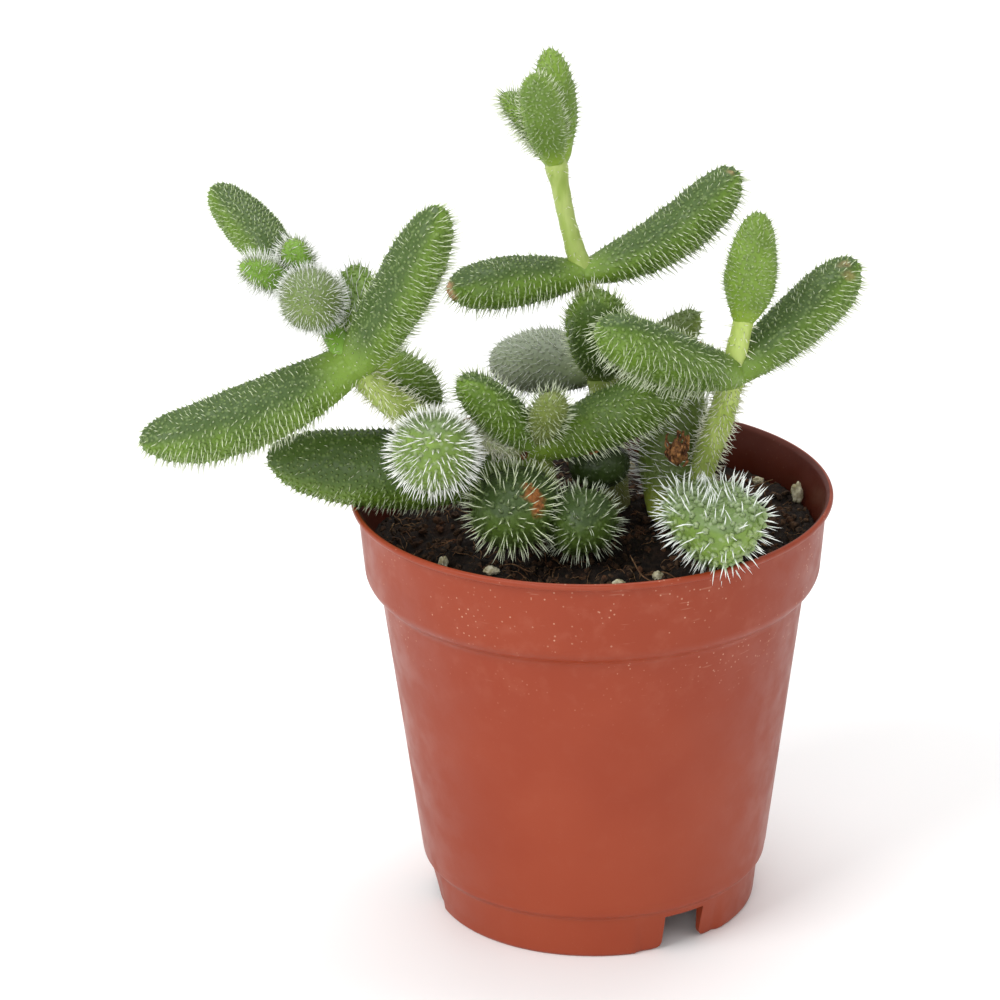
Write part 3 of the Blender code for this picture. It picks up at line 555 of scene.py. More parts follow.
# name: base on the stem's axis, tip, width, options, style, skin, bristle colour
LEAVES = {
    "leaf_left_upper": ((-26.2, -8.0, 69.2), (-16.4, -12, 88.5), 7.5, dict(neck=0.70, widest=0.5, power=2.6, bow=(0.5, 0, -0.4), roll=45), "mature", LEAF, SPINE),
    "leaf_left_long": ((-26.8, -8.0, 69.0), (-50.0, -14, 61.8), 8.0, dict(neck=0.66, widest=0.5, power=2.8, bow=(0, 0, -1.7), roll=-10), "mature", LEAF, SPINE),
    "leaf_left_lower": ((-25.8, -7.6, 68.8), (-18.7, 3.8, 57.2), 6.2, dict(neck=0.6, bow=(0.9, 0.4, 1.7), roll=180), "shaggy", YOUNG, SPINE),
    "leaf_left_back": ((-26.9, -7.6, 69.6), (-26.2, 3.5, 76.2), 5.0, dict(roll=180), "shaggy", LEAF, WHITE),
    "leaf_left_ball": ((-16.8, -6.2, 58.6), (-17.1, -18.3, 64.0), 8.8, dict(flat=0.96, neck=0.3, widest=0.5, bow=(-0.6, 0, -1.4), groove=0), "white_ball", BALL, WHITE),
    "leaf_tip_back": ((-32.2, -0.9, 75.6), (-42.6, 9, 84.0), 5.7, dict(), "soft", LEAF, SPINE),
    "leaf_tip_front": ((-31.4, -2.0, 74.4), (-30.7, -10.8, 77.5), 7.0, dict(flat=0.98, neck=0.4, widest=0.5, groove=0), "fuzzy", FUZZY, WHITE),
    "leaf_tip_left": ((-32.0, -1.3, 75.4), (-38.9, -4.8, 79.5), 3.5, dict(neck=0.6, groove=0.35, roll=-80), "fringe", TENDER, WHITE),
    "leaf_tip_upper": ((-32.1, -1.1, 75.6), (-33.4, -1.6, 81.4), 3.4, dict(neck=0.6, groove=0.35, roll=-180), "fringe", TENDER, WHITE),
    "leaf_right_front": ((15.9, 0.0, 64.3), (1.2, -13.8, 75.2), 7.3, dict(neck=0.55, power=2.8, bow=(0, 0, -0.6)), "shaggy", LEAF, SPINE),
    "leaf_right_outer": ((16.0, 0.0, 64.2), (30.2, 8, 74.9), 6.8, dict(neck=0.5, power=2.6, bow=(0.2, 0, -0.5), widest=0.6), "mature", LEAF, SPINE),
    "leaf_right_upper": ((17.2, 0.0, 70.2), (18.9, 1, 83.2), 5.8, dict(neck=0.3, widest=0.42, power=1.75), "tip", YOUNG, SPINE),
    "leaf_right_ball": ((12.8, 1.4, 50.0), (15.0, -25.7, 55.2), 10.0, dict(flat=0.80, neck=0.3, widest=0.75, bow=(-0.9, 0, -0.45), groove=0, heart=1.0), "spiny_ball", BALL, GLASSY),
    "leaf_right_inner": ((9.0, 1.9, 47.0), (10.9, 6.6, 61.3), 7.6, dict(bow=(-0.6, 0, 0), neck=0.72, widest=0.5, roll=180), "long_hair", OLIVE, WHITE),
    "leaf_centre_long": ((-6.4, -2.9, 55.0), (-36.7, -3.8, 56.0), 6.8, dict(bow=(0, 0, -1.2), flat=1.34, neck=0.5, widest=0.5, power=2.8, roll=-50), "dark", MID, SPINE),
    "leaf_centre_right": ((-6.7, -3.0, 56.8), (11.0, -1.2, 64.8), 7.5, dict(neck=0.55, bow=(0, -0.6, -0.4), roll=-20), "dark", MID, SPINE),
    "leaf_centre_left": ((-7.0, -3.3, 57.8), (-14.3, -9.2, 67.4), 5.8, dict(neck=0.68, widest=0.5), "crest", LEAF, SPINE),
    "leaf_centre_bud": ((-6.3, -3.8, 58.2), (-3.8, -10.2, 65.6), 3.9, dict(flat=0.95, groove=0, neck=0.6), "bud", BUD, SPINE),
    "leaf_front_left": ((-5.9, -2.5, 51.4), (-10.2, -15.3, 53.0), 9.2, dict(flat=0.95, neck=0.33, widest=0.52, bow=(-0.5, 0, -0.4), groove=0), "dark_ball", SCORCHED, SPINE),
    "leaf_front_middle": ((-4.7, -1.9, 47.8), (-0.3, -13.4, 51.1), 8.1, dict(flat=0.92, neck=0.4, widest=0.56, bow=(1.0, 0, 0.2), groove=0), "dim_ball", DARK, DIM),
    "leaf_rear_front": ((1.0, 8.0, 61.0), (0.3, -0.6, 73.7), 7.1, dict(bow=(0.3, 0.8, -0.4), roll=180), "shaggy", MID, SPINE),
    "leaf_rear_right": ((1.1, 8.0, 60.8), (12.4, 15, 66.1), 5.6, dict(bow=(1.2, 0.8, -1.0)), "pale", OLIVE, SPINE),
    "leaf_rear_left": ((0.9, 8.0, 62.0), (-10.9, 18.0, 59.2), 8.4, dict(bow=(0, 0, 0.5)), "pale", PALE, WHITE),
    "leaf_middle_dark": ((2.4, 7.4, 50.6), (-0.2, -3.0, 54.6), 6.6, dict(widest=0.65), "shade", SHADE, DIM),
    "leaf_top_left": ((-1.0, 8.0, 73.8), (-16.2, 4, 73.2), 6.4, dict(neck=0.55, power=2.6), "mature", LEAF, SPINE),
    "leaf_top_right": ((-1.0, 8.0, 73.5), (16.9, 13, 83.9), 6.8, dict(neck=0.5, power=3.0, bow=(0.4, 0, -1.9), widest=0.62), "mature", LEAF, SPINE),
    "leaf_crown_front": ((-3.9, 7.7, 87.0), (-6.3, 4.4, 98.4), 4.5, dict(widest=0.5, power=2.6, roll=180), "tip", YOUNG, SPINE),
    "leaf_crown_back": ((-3.5, 8.5, 87.0), (-4.5, 12.5, 98.9), 4.3, dict(neck=0.5, bow=(0.4, 0, 0)), "tip", YOUNG, SPINE),
    "leaf_crown_left": ((-4.2, 8.1, 86.9), (-9.7, 9.8, 94.6), 4.0, dict(neck=0.5, bow=(0.7, 0.2, 0.3)), "fringe", YOUNG, SPINE),
}
SCARS = {
    "leaf_top_left": [((-16.3, 3.9, 73.0), 1.8, 0.9)],
    "leaf_top_right": [((16.2, 11.6, 84.9), 0.9, 0.55)],
    "leaf_right_outer": [((29.0, 5.6, 76.2), 1.4, 0.42), ((29.3, 5.0, 74.2), 0.9, 0.35), ((28.6, 4.2, 72.6), 0.7, 0.28)],
    "leaf_front_left": [((-6.0, -13.0, 55.2), 1.7, 1.0), ((-6.4, -12.4, 56.3), 1.4, 1.0), ((-6.0, -13.5, 53.9), 1.3, 1.0)],
    "leaf_right_front": [((12.2, -4.4, 69.8), 0.9, 0.5), ((10.6, -5.8, 70.9), 0.7, 0.4)],
}
for index, (name, (base, tip, width, opts, style, skin, spine)) in enumerate(LEAVES.items()):
    shape = LeafShape(base, tip, width, seed=float(index), **opts)
    build_leaf(name, shape, STYLES[style], skin, spine, 100 + index, SCARS.get(name))


# ------------------------------------------------------------------ stems
def catmull(points, values, steps):
    pts = [np.array(p, float) for p in points]
    out, val = [], []
    last = len(pts) - 1
    for i in range(last):
        p0, p1, p2, p3 = pts[max(i - 1, 0)], pts[i], pts[i + 1], pts[min(i + 2, last)]
        for s in range(steps):
            t = s / steps
            out.append(0.5 * (2 * p1 + (p2 - p0) * t + (2 * p0 - 5 * p1 + 4 * p2 - p3) * t * t
                              + (3 * p1 - p0 - 3 * p2 + p3) * t ** 3))
            val.append(values[i] * (1 - t) + values[i + 1] * t)
    out.append(pts[last])
    val.append(values[last])
    return np.array(out), np.array(val)


def sweep(path, radii, cols):
    """Rings along a path, with the frame at each, for a tube of changing width."""
    n = len(path)
    tangent = unit(np.gradient(path, axis=0))
    side = unit(np.cross(tangent[0], [0.3, 1.0, 0.2]))
    e1 = np.zeros((n, 3))
    for i in range(n):
        side = side - tangent[i] * np.dot(side, tangent[i])
        side = side / np.linalg.norm(side)
        e1[i] = side
    e2 = np.cross(tangent, e1)
    a = np.arange(cols) * 2 * math.pi / cols
    ring = (e1[:, None] * np.cos(a)[None, :, None] + e2[:, None] * np.sin(a)[None, :, None])
    return path[:, None] + ring * radii[:, None, None], ring, tangent


def build_stem(name, path, radii, knots, skin, hair_mat, spacing, length, thick, hairy, woody, seed, roots=(), chalky=(), fresh=()):
    rng = np.random.default_rng(seed)
    pts, rad = catmull(path, radii, 16)
    for knot, swell, reach in knots:
        d = np.linalg.norm(pts - np.array(knot), axis=1)
        rad = rad + swell * np.exp(-(d / reach) ** 2)
    rad = rad * (1 + 0.04 * wobble(pts, 0.8, seed))
    cols = 24
    rings, outward, tangent = sweep(pts, rad, cols)
    verts = rings.reshape(-1, 3)
    verts = verts + outward.reshape(-1, 3) * (wobble(verts, 1.1, seed + 3) * 0.07)[:, None]
    rows = len(pts)
    quads = grid_faces(rows, cols)
    k = np.arange(cols)
    end = len(verts)
    dome = pts[-1] + tangent[-1] * rad[-1] * 0.5
    verts = np.concatenate([verts, [pts[0] - tangent[0] * 0.3, dome]])
    last = (rows - 1) * cols
    caps = np.concatenate([np.stack([(k + 1) % cols, k, np.full(cols, end)], 1),
                           np.stack([last + k, last + (k + 1) % cols, np.full(cols, end + 1)], 1)])
    polys = [quads, caps]
    wood = np.zeros(len(verts))
    for centre, reach, amount in woody:
        d = np.linalg.norm(verts - np.array(centre), axis=1)
        wood = np.maximum(wood, amount * np.clip(1 - d / reach, 0, 1))
    chalk = np.zeros(len(verts))
    for centre, reach, amount in chalky:
        d = np.linalg.norm(verts - np.array(centre), axis=1)
        chalk = np.maximum(chalk, np.clip(amount * (1 - d / reach) * 2.0, 0, 1))
    young = np.zeros(len(verts))
    for centre, reach, amount in fresh:
        d = np.linalg.norm(verts - np.array(centre), axis=1)
        young = np.maximum(young, np.clip(amount * (1 - d / reach) * 2.0, 0, 1))
    for root in roots:
        rp, rr = catmull(root[0], root[1], 5)
        rring, _, _ = sweep(rp, rr, 7)
        first = len(verts)
        verts = np.concatenate([verts, rring.reshape(-1, 3)])
        rr_rows = len(rp)
        q = grid_faces(rr_rows, 7, first)
        kk = np.arange(1, 6)
        lastr = first + (rr_rows - 1) * 7
        ends = np.concatenate([np.stack([np.full(5, first), first + kk + 1, first + kk], 1),
                               np.stack([np.full(5, lastr), lastr + kk, lastr + kk + 1], 1)])
        polys += [q, ends]
        wood = np.concatenate([wood, np.ones(rr_rows * 7)])
        chalk = np.concatenate([chalk, np.zeros(rr_rows * 7)])
        young = np.concatenate([young, np.zeros(rr_rows * 7)])
    obj = to_object(name, verts, polys, [skin], {"woody": wood, "chalk": chalk, "fresh": young})
    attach(obj, "root")
    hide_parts(name)

    # hairs
    run = np.concatenate([[0], np.cumsum(np.linalg.norm(np.diff(pts, axis=0), axis=1))])
    centres, normals, ups, furry = [], [], [], []
    row, pos = 0, 0.3
    while pos < run[-1] - 0.2:
        i = int(np.clip(np.searchsorted(run, pos), 1, rows - 1))
        f = (pos - run[i - 1]) / max(run[i] - run[i - 1], 1e-9)
        c = pts[i - 1] * (1 - f) + pts[i] * f
        keep = hairy(c)
        if keep > 0:
            r = rad[i]
            dense = any(np.linalg.norm(c - np.array(q[0])) < q[1] * 0.85 for q in chalky)
            count = max(5, int(round(2 * math.pi * r / spacing * (1.6 if dense else 1.0))))
            for j in range(count):
                if rng.uniform() > keep:
                    continue
                a = (j + 0.5 * (row % 2) + rng.uniform(-0.3, 0.3)) * 2 * math.pi / count
                o = outward[i][0] * math.cos(a) + np.cross(tangent[i], outward[i][0]) * math.sin(a)
                centres.append(c + o * (r - 0.04) + tangent[i] * rng.uniform(-0.3, 0.3))
                normals.append(o)
                ups.append(tangent[i])
                furry.append(1.0 if dense else 0.0)
        row += 1
        pos += spacing * 0.866
    if centres:
        c, n, u = np.array(centres), np.array(normals), np.array(ups)
        m = len(c)
        direction = unit(n + u * rng.normal(-0.10, 0.22, (m, 1)) + rng.normal(0, 0.13, (m, 3)))
        bend = unit(rng.normal(0, 0.7, (m, 3)) - u * 0.8) * rng.uniform(0.05, 0.35, (m, 1))
        furry = np.array(furry)
        lens = length * rng.uniform(0.55, 1.25, m) * (1 - 0.1 * furry)
        sv, sq, st, sal, per = cones(c, direction, bend, lens, thick * rng.uniform(0.8, 1.2, m) * (1 + 0.35 * furry), 4,
                                     [(0.0, 1.0), (0.35, 0.70), (0.72, 0.42)])
        hair = to_object(name + "_hairs", sv, [sq, st], [hair_mat], {"along": sal})
        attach(hair, "root")
    return obj


def root_paths(foot, index):
    foot = np.array(foot, float)
    out = []
    for k in range(4):
        a = 2 * math.pi * (k + 0.3 * index) / 4 + 0.4
        o = np.array([math.cos(a), math.sin(a), 0])
        out.append(([foot + [0, 0, 1.5], foot + o * 2.8 + [0, 0, -0.8], foot + o * 4.3 + [0, 0, -4.95],
                     foot + o * 3.6 + [0, 0, -11.0]], [0.62, 0.55, 0.42, 0.3]))
    return out


CENTRE_PATH = [(-3.5, -2.0, 24), (-3.6, -1.6, 38), (-5.2, -2.2, 49), (-6.8, -3, 58.4)]
REAR_PATH = [(3.0, 9.5, 22), (3.2, 8.4, 38), (2.2, 7.6, 52), (1.0, 8, 62), (-0.2, 8, 70), (-1.1, 8, 74.2),
             (-2.6, 8, 80), (-4, 8, 87.8)]
RIGHT_PATH = [(11.5, 1.0, 23), (11.2, 1.8, 38), (12.2, 2.1, 50), (14.8, 0.6, 59), (16, 0, 64.8), (17.3, 0, 71.2)]
LEFT_PATH = [(-6.6, -3, 56.4), (-12.6, -5, 58.6), (-17, -6, 59.9), (-22, -7.4, 63.8), (-26.6, -8, 69.1),
             (-28.8, -6, 71.9), (-32.2, -1, 75.9)]
build_stem("stem_centre", CENTRE_PATH, [1.7, 1.9, 1.9, 1.6], [((-6.6, -3, 56.8), 0.5, 1.6)], STEM, STEM_HAIR,
           0.62, 0.9, 0.045, lambda c: 0.7 if c[2] > 46 else 0, [((-4, -2, 40), 17, 1.6)], 31, root_paths((-3.5, -2.0, 24), 0))
build_stem("stem_rear", REAR_PATH, [1.6, 1.7, 1.6, 1.5, 1.4, 1.2, 0.98, 1.1],
           [((-1.0, 8, 73.8), 0.35, 1.4), ((-3.9, 8, 86.2), 0.25, 1.2), ((1.0, 8, 61.5), 0.35, 1.5)], STEM_BRIGHT, STEM_HAIR,
           0.58, 0.80, 0.042, lambda c: (0.95 if c[2] < 74.5 else 0.30) if c[2] > 46 else 0,
           [((3, 9, 38), 17, 1.6), ((-1.0, 7.2, 72.6), 1.6, 0.5)], 32, root_paths((3.0, 9.5, 22), 1))
build_stem("stem_right", RIGHT_PATH, [1.5, 1.6, 1.6, 1.5, 1.4, 0.98],
           [((16, 0, 64.2), 0.45, 1.2), ((17.2, 0, 70.6), 0.15, 1.0)], STEM_LIGHT, STEM_HAIR,
           0.54, 1.15, 0.066, lambda c: (1.0 if c[2] < 65 else 0.3) if c[2] > 46 else 0,
           [((11.5, 2, 38), 9, 1.6)], 33, root_paths((11.5, 1.0, 23), 2))
build_stem("stem_left", LEFT_PATH, [1.4, 1.5, 1.6, 1.7, 1.6, 1.3, 1.2], [((-26.6, -8, 69.1), 0.45, 1.5), ((-32, -1.2, 75.6), 0.35, 1.2)],
           STEM_CLEAR, STEM_HAIR, 0.54, 1.30, 0.064, lambda c: 1.0 if c[0] > -26.0 else 0.8,
           [((-8, -3.4, 57), 2.4, 1.0)], 34, chalky=[((-12.0, -4.9, 58.4), 4.6, 1.3)], fresh=[((-28.8, -6.0, 71.6), 7.0, 1.0)])


# ------------------------------------------------------------------ pot
POT_H, RIM_R, RIM_IN, BAND_Z = 50.2, 27.5, 26.65, 40.8
BODY_TOP, BODY_LOW, FOOT_TOP, FOOT_R = 24.3, 20.0, 5.3, 18.6
FLOOR_LOW, FLOOR_HIGH, WALL = 4.8, 5.6, 0.75


def smooth_profile(points, radius, steps=4):
    """Rounds every corner of a closed profile by the radius given for it."""
    out = []
    n = len(points)
    for i in range(n):
        p = np.array(points[i][:2], float)
        r = points[i][2] if len(points[i]) > 2 else radius
        a = np.array(points[i - 1][:2], float)
        b = np.array(points[(i + 1) % n][:2], float)
        if r <= 0 or p[0] < 1e-6:
            out.append(tuple(p))
            continue
        la, lb = np.linalg.norm(a - p), np.linalg.norm(b - p)
        cut = min(r, la * 0.45, lb * 0.45)
        s, e = p + (a - p) / la * cut, p + (b - p) / lb * cut
        for j in range(steps + 1):
            t = j / steps
            q = s * (1 - t) ** 2 + p * 2 * t * (1 - t) + e * t * t
            out.append(tuple(q))
    return out


PROFILE = smooth_profile([
    (27.10, POT_H, 0.18), (27.42, POT_H - 0.18, 0.18), (RIM_R, POT_H - 0.45, 0.2), (RIM_R - 0.12, POT_H - 0.78, 0.2),
    (RIM_R - 0.80, POT_H - 0.95, 0.2), (26.55, 47.0, 1.5), (26.02, BAND_Z + 0.3, 0.8), (25.55, BAND_Z - 0.55, 0.6),
    (24.75, BAND_Z - 1.15, 0.5), (BODY_TOP, BAND_Z - 1.75, 0.4), (22.2, 23.0, 2.0), (BODY_LOW + 0.1, FOOT_TOP + 1.4, 0.6),
    (BODY_LOW - 0.06, FOOT_TOP + 0.45, 0.35), (BODY_LOW - 0.50, FOOT_TOP + 0.05, 0.15), (FOOT_R + 0.62, FOOT_TOP - 0.35, 0.2),
    (FOOT_R + 0.08, 0.35, 0.25), (FOOT_R - 0.2, 0.0, 0.15), (FOOT_R - 1.05, 0.0, 0.15),
    (FOOT_R - 0.75, FLOOR_LOW, 0.3), (0.0, FLOOR_LOW, 0), (0.0, FLOOR_HIGH, 0), (18.6, FLOOR_HIGH, 0.6),
    (BODY_LOW - WALL, FLOOR_HIGH + 1.2, 0.8), (BODY_TOP - WALL, BAND_Z - 1.6, 0.5), (25.15, BAND_Z - 0.4, 0.5),
    (25.80, 47.0, 1.5), (RIM_IN, POT_H - 0.35, 0.3),
], 0.3)


def build_pot():
    seg = 200
    angles = np.arange(seg) * 2 * math.pi / seg
    rings, verts = [], []
    for r, z in PROFILE:
        if r < 1e-6:
            rings.append([len(verts)])
            verts.append((0, 0, z))
        else:
            rings.append(list(range(len(verts), len(verts) + seg)))
            dent = 1 + 0.0035 * np.sin(2 * angles + 0.6) * min(1, z / 50) + 0.0012 * np.sin(3 * angles + 2.0)
            dent = np.ones(seg) if z < 7 else dent
            for a, d in zip(angles, dent):
                verts.append((r * math.cos(a) * d, r * math.sin(a) * d, z))
    quads, tris = [], []
    count = len(PROFILE)
    for i in range(count):
        up, low = rings[i], rings[(i + 1) % count]
        if len(up) == 1 and len(low) == 1:
            continue
        for k in range(seg):
            n = (k + 1) % seg
            if len(low) == 1:
                tris.append((up[k], low[0], up[n]))
            elif len(up) == 1:
                tris.append((up[0], low[k], low[n]))
            else:
                quads.append((up[k], low[k], low[n], up[n]))
    obj = to_object("pot_body", np.array(verts), [np.array(quads), np.array(tris)], [POT])
    cutters = []

    def prism(outline, r0, r1, degrees):
        """A cutter: an outline of (sideways, height) pushed outward from r0 to r1 at an angle from the front."""
        a = math.radians(degrees)
        out = np.array([math.sin(a), -math.cos(a), 0])
        side = np.array([math.cos(a), math.sin(a), 0])
        pts = []
        for r in (r0, r1):
            for s, z in outline:
                pts.append(out * r + side * s + np.array([0, 0, z]))
        n = len(outline)
        mesh = bpy.data.meshes.new("cut")
        faces = [tuple(reversed(range(n))), tuple(range(n, 2 * n))]
        faces += [(k, (k + 1) % n, (k + 1) % n + n, k + n) for k in range(n)]
        mesh.from_pydata([tuple(p * MM + AXIS) for p in pts], [], faces)
        cut = bpy.data.objects.new("cut", mesh)
        SCENE.collection.objects.link(cut)
        cutters.append(cut)
        return cut

    half = 18.5 * math.sin(math.radians(16.2 / 2))
    for degrees in (33.0, 153.0, 273.0):
        curve = [(half, 4.45), (half, 1.15)]
        for j in range(1, 7):
            t = j / 6 * math.pi / 2
            curve.append((half + 1.05 * (1 - math.cos(t)), 1.15 - 1.05 * math.sin(t)))
        curve.append((half + 1.6, -0.6))
        outline = curve + [(-x, z) for x, z in reversed(curve)]
        outline = outline[::-1]
        prism(outline, 15.5, 22.5, degrees)
    for i in range(5):
        cx, cy = (0.0, 0.0) if i == 0 else (11 * math.cos(2 * math.pi * (i - 0.5) / 4), 11 * math.sin(2 * math.pi * (i - 0.5) / 4))
        mesh = bpy.data.meshes.new("cut")
        n = 32
        ring = [(cx + 2.1 * math.cos(2 * math.pi * k / n), cy + 2.1 * math.sin(2 * math.pi * k / n)) for k in range(n)]
        pts = [(x, y, 3.0) for x, y in ring] + [(x, y, 7.5) for x, y in ring]
        faces = [tuple(reversed(range(n))), tuple(range(n, 2 * n))]
        faces += [(k, (k + 1) % n, (k + 1) % n + n, k + n) for k in range(n)]
        mesh.from_pydata([tuple(np.array(p) * MM + AXIS) for p in pts], [], faces)
        cut = bpy.data.objects.new("cut", mesh)
        SCENE.collection.objects.link(cut)
        cutters.append(cut)
    for cut in cutters:
        mod = obj.modifiers.new("cut", "BOOLEAN")
        mod.operation = "DIFFERENCE"
        mod.solver = "EXACT"
        mod.object = cut
    bpy.context.view_layer.update()
    graph = bpy.context.evaluated_depsgraph_get()
    mesh = bpy.data.meshes.new_from_object(obj.evaluated_get(graph))
    obj.modifiers.clear()
    obj.data = mesh
    for cut in cutters:
        bpy.data.objects.remove(cut)
    # the feet are pressed in a little beside each gap
    co = np.zeros(len(mesh.vertices) * 3, np.float32)
    mesh.vertices.foreach_get("co", co)
    co = co.reshape(-1, 3)
    q = (co - AXIS) / MM
    radius = np.hypot(q[:, 0], q[:, 1])
    angle = np.degrees(np.arctan2(q[:, 0], -q[:, 1]))
    press = np.zeros(len(q))
    for degrees in (33.0, 153.0, 273.0):
        off = np.abs((angle - degrees + 180) % 360 - 180)
        press = np.maximum(press, np.clip((17.6 - off) / 0.9, 0, 1))
    low = np.clip((4.35 - q[:, 2]) / 0.45, 0, 1)
    skin = radius > FOOT_R - 0.62
    move = press * low * skin * 0.42
    q[:, 0] *= 1 - move / np.maximum(radius, 1)
    q[:, 1] *= 1 - move / np.maximum(radius, 1)
    mesh.vertices.foreach_set("co", (q * MM + AXIS).astype(np.float32).ravel())
    mesh.update()
    facing = np.zeros(len(q) * 3, dtype=np.float32)
    mesh.vertex_normals.foreach_get("vector", facing)
    facing = facing.reshape(-1, 3)
    # mark the inner wall and inner floor, which get painted shade in the pot's colour
    inward = (facing[:, 0] * q[:, 0] + facing[:, 1] * q[:, 1]) / np.maximum(radius, 1)
    inner = ((inward < -0.25) | ((facing[:, 2] > 0.5) & (radius < 22))) & (q[:, 2] > 5.2)
    layer = mesh.attributes.new("inside", "FLOAT", "POINT")
    layer.data.foreach_set("value", inner.astype(np.float32))
    mesh.shade_smooth()
    mesh.set_sharp_from_angle(angle=math.radians(38))
    mesh.update()
    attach(obj, "root")
    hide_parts("pot")
    return obj


def pot_material():
    mat, tree, shader, coords = node_material("pot_terracotta", 0.42, specular=0.30)
    sep = tree.nodes.new("ShaderNodeSeparateXYZ")
    tree.links.new(coords, sep.inputs["Vector"])
    broad = remap(tree, noise_tex(tree, coords, 38.0, 3.0), 0.35, 0.68)
    colour = mix(tree, broad, (0.248, 0.033, 0.0085), (0.276, 0.043, 0.0135))
    cloud = remap(tree, noise_tex(tree, coords, 420.0, 4.0), 0.50, 0.74, 0.0, 0.14)
    upper_part = remap(tree, sep.outputs["Z"], 0.029, 0.041, 0.25, 1.0)
    colour = mix(tree, maths(tree, "MULTIPLY", cloud, upper_part), colour, (0.40, 0.13, 0.08))
    # dust specks, thickest on the band and the top of the body
    high = remap(tree, sep.outputs["Z"], 0.029, 0.041, 0.04, 1.0)
    specks = remap(tree, voronoi_tex(tree, coords, 760.0), 0.060, 0.12, 1.0, 0.0)
    where = remap(tree, noise_tex(tree, coords, 90.0, 3.0), 0.44, 0.60)
    dust = maths(tree, "MULTIPLY", maths(tree, "MULTIPLY", specks, where), high)
    colour = mix(tree, maths(tree, "MULTIPLY", dust, 0.45), colour, (0.62, 0.36, 0.25))
    fine = remap(tree, voronoi_tex(tree, coords, 1350.0), 0.09, 0.18, 1.0, 0.0)
    where2 = remap(tree, noise_tex(tree, coords, 150.0, 3.0), 0.44, 0.62)
    fine = maths(tree, "MULTIPLY", maths(tree, "MULTIPLY", fine, where2), high)
    colour = mix(tree, maths(tree, "MULTIPLY", fine, 0.62), colour, (0.60, 0.33, 0.22))
    # thin slanting scratches
    scratch = remap(tree, noise_tex(tree, coords, 800.0, 2.0, stretch=(0.35, 0.35, 3.0), turn=(0.35, 0.55, 0.2)), 0.66, 0.74, 0.0, 1.0)
    scratch = maths(tree, "MULTIPLY", maths(tree, "MULTIPLY", scratch, where), high)
    colour = mix(tree, maths(tree, "MULTIPLY", scratch, 0.20), colour, (0.58, 0.30, 0.20))
    # painted shade: the inner wall and inner floor are mixed 85% toward a near-black red
    inside = attribute(tree, "inside")
    colour = mix(tree, maths(tree, "MULTIPLY", inside, 0.85), colour, (0.060, 0.010, 0.005))
    tree.links.new(colour, shader.inputs["Base Color"])
    rough = remap(tree, noise_tex(tree, coords, 260.0, 3.0), 0.3, 0.7, 0.34, 0.50)
    tree.links.new(maths(tree, "ADD", rough, maths(tree, "MULTIPLY", dust, 0.3)), shader.inputs["Roughness"])
    height = maths(tree, "ADD", noise_tex(tree, coords, 900.0, 3.0), maths(tree, "MULTIPLY", scratch, 0.6))
    bump(tree, shader, height, 0.12, 0.0001)
    return mat


POT = pot_material()
build_pot()


# ------------------------------------------------------------------ compost
def soil_height(x, y):
    lumps = np.sin(x * 0.55 + 1.1) * np.cos(y * 0.47 - 0.6) + 0.6 * np.sin(x * 0.9 - y * 0.7 + 2.0)
    return 44.8 + 0.042 * x + 0.4 * lumps


def soil_material(name, dark, light, red):
    mat, tree, shader, coords = node_material(name, 0.92)
    grain = noise_tex(tree, coords, 1400.0, 5.0, 0.7)
    clump = noise_tex(tree, coords, 330.0, 3.0)
    colour = mix(tree, remap(tree, grain, 0.38, 0.68), dark, light)
    colour = mix(tree, remap(tree, clump, 0.50, 0.72, 0.0, 0.55), colour, red)
    bits = remap(tree, voronoi_tex(tree, coords, 900.0), 0.04, 0.12, 1.0, 0.0)
    where = remap(tree, noise_tex(tree, coords, 600.0, 2.0), 0.56, 0.64)
    colour = mix(tree, maths(tree, "MULTIPLY", maths(tree, "MULTIPLY", bits, where), 0.7), colour, (0.30, 0.22, 0.13))
    tree.links.new(colour, shader.inputs["Base Color"])
    bump(tree, shader, grain, 0.9, 0.00035)
    return mat


SOIL = soil_material("peat", (0.0095, 0.0050, 0.0028), (0.098, 0.048, 0.022), (0.105, 0.036, 0.014))
BED = soil_material("peat_bed", (0.0045, 0.0026, 0.0018), (0.026, 0.014, 0.008), (0.030, 0.012, 0.006))
CRUMB = soil_material("peat_crumbs", (0.016, 0.0085, 0.0048), (0.105, 0.058, 0.030), (0.120, 0.045, 0.018))
FIBRE = soil_material("fibre", (0.090, 0.040, 0.018), (0.270, 0.165, 0.080), (0.170, 0.055, 0.022))


def fine_soil(x, y):
    base = soil_height(x, y)
    p = np.stack([x, y, np.zeros_like(x)], -1)
    flat = p.reshape(-1, 3)
    rough = (wobble(flat, 0.42, 3.0) * 0.55 + np.abs(wobble(flat, 1.05, 5.0)) * 0.75
             + wobble(flat, 2.3, 9.0) * 0.22).reshape(x.shape)
    return base + rough - 0.25


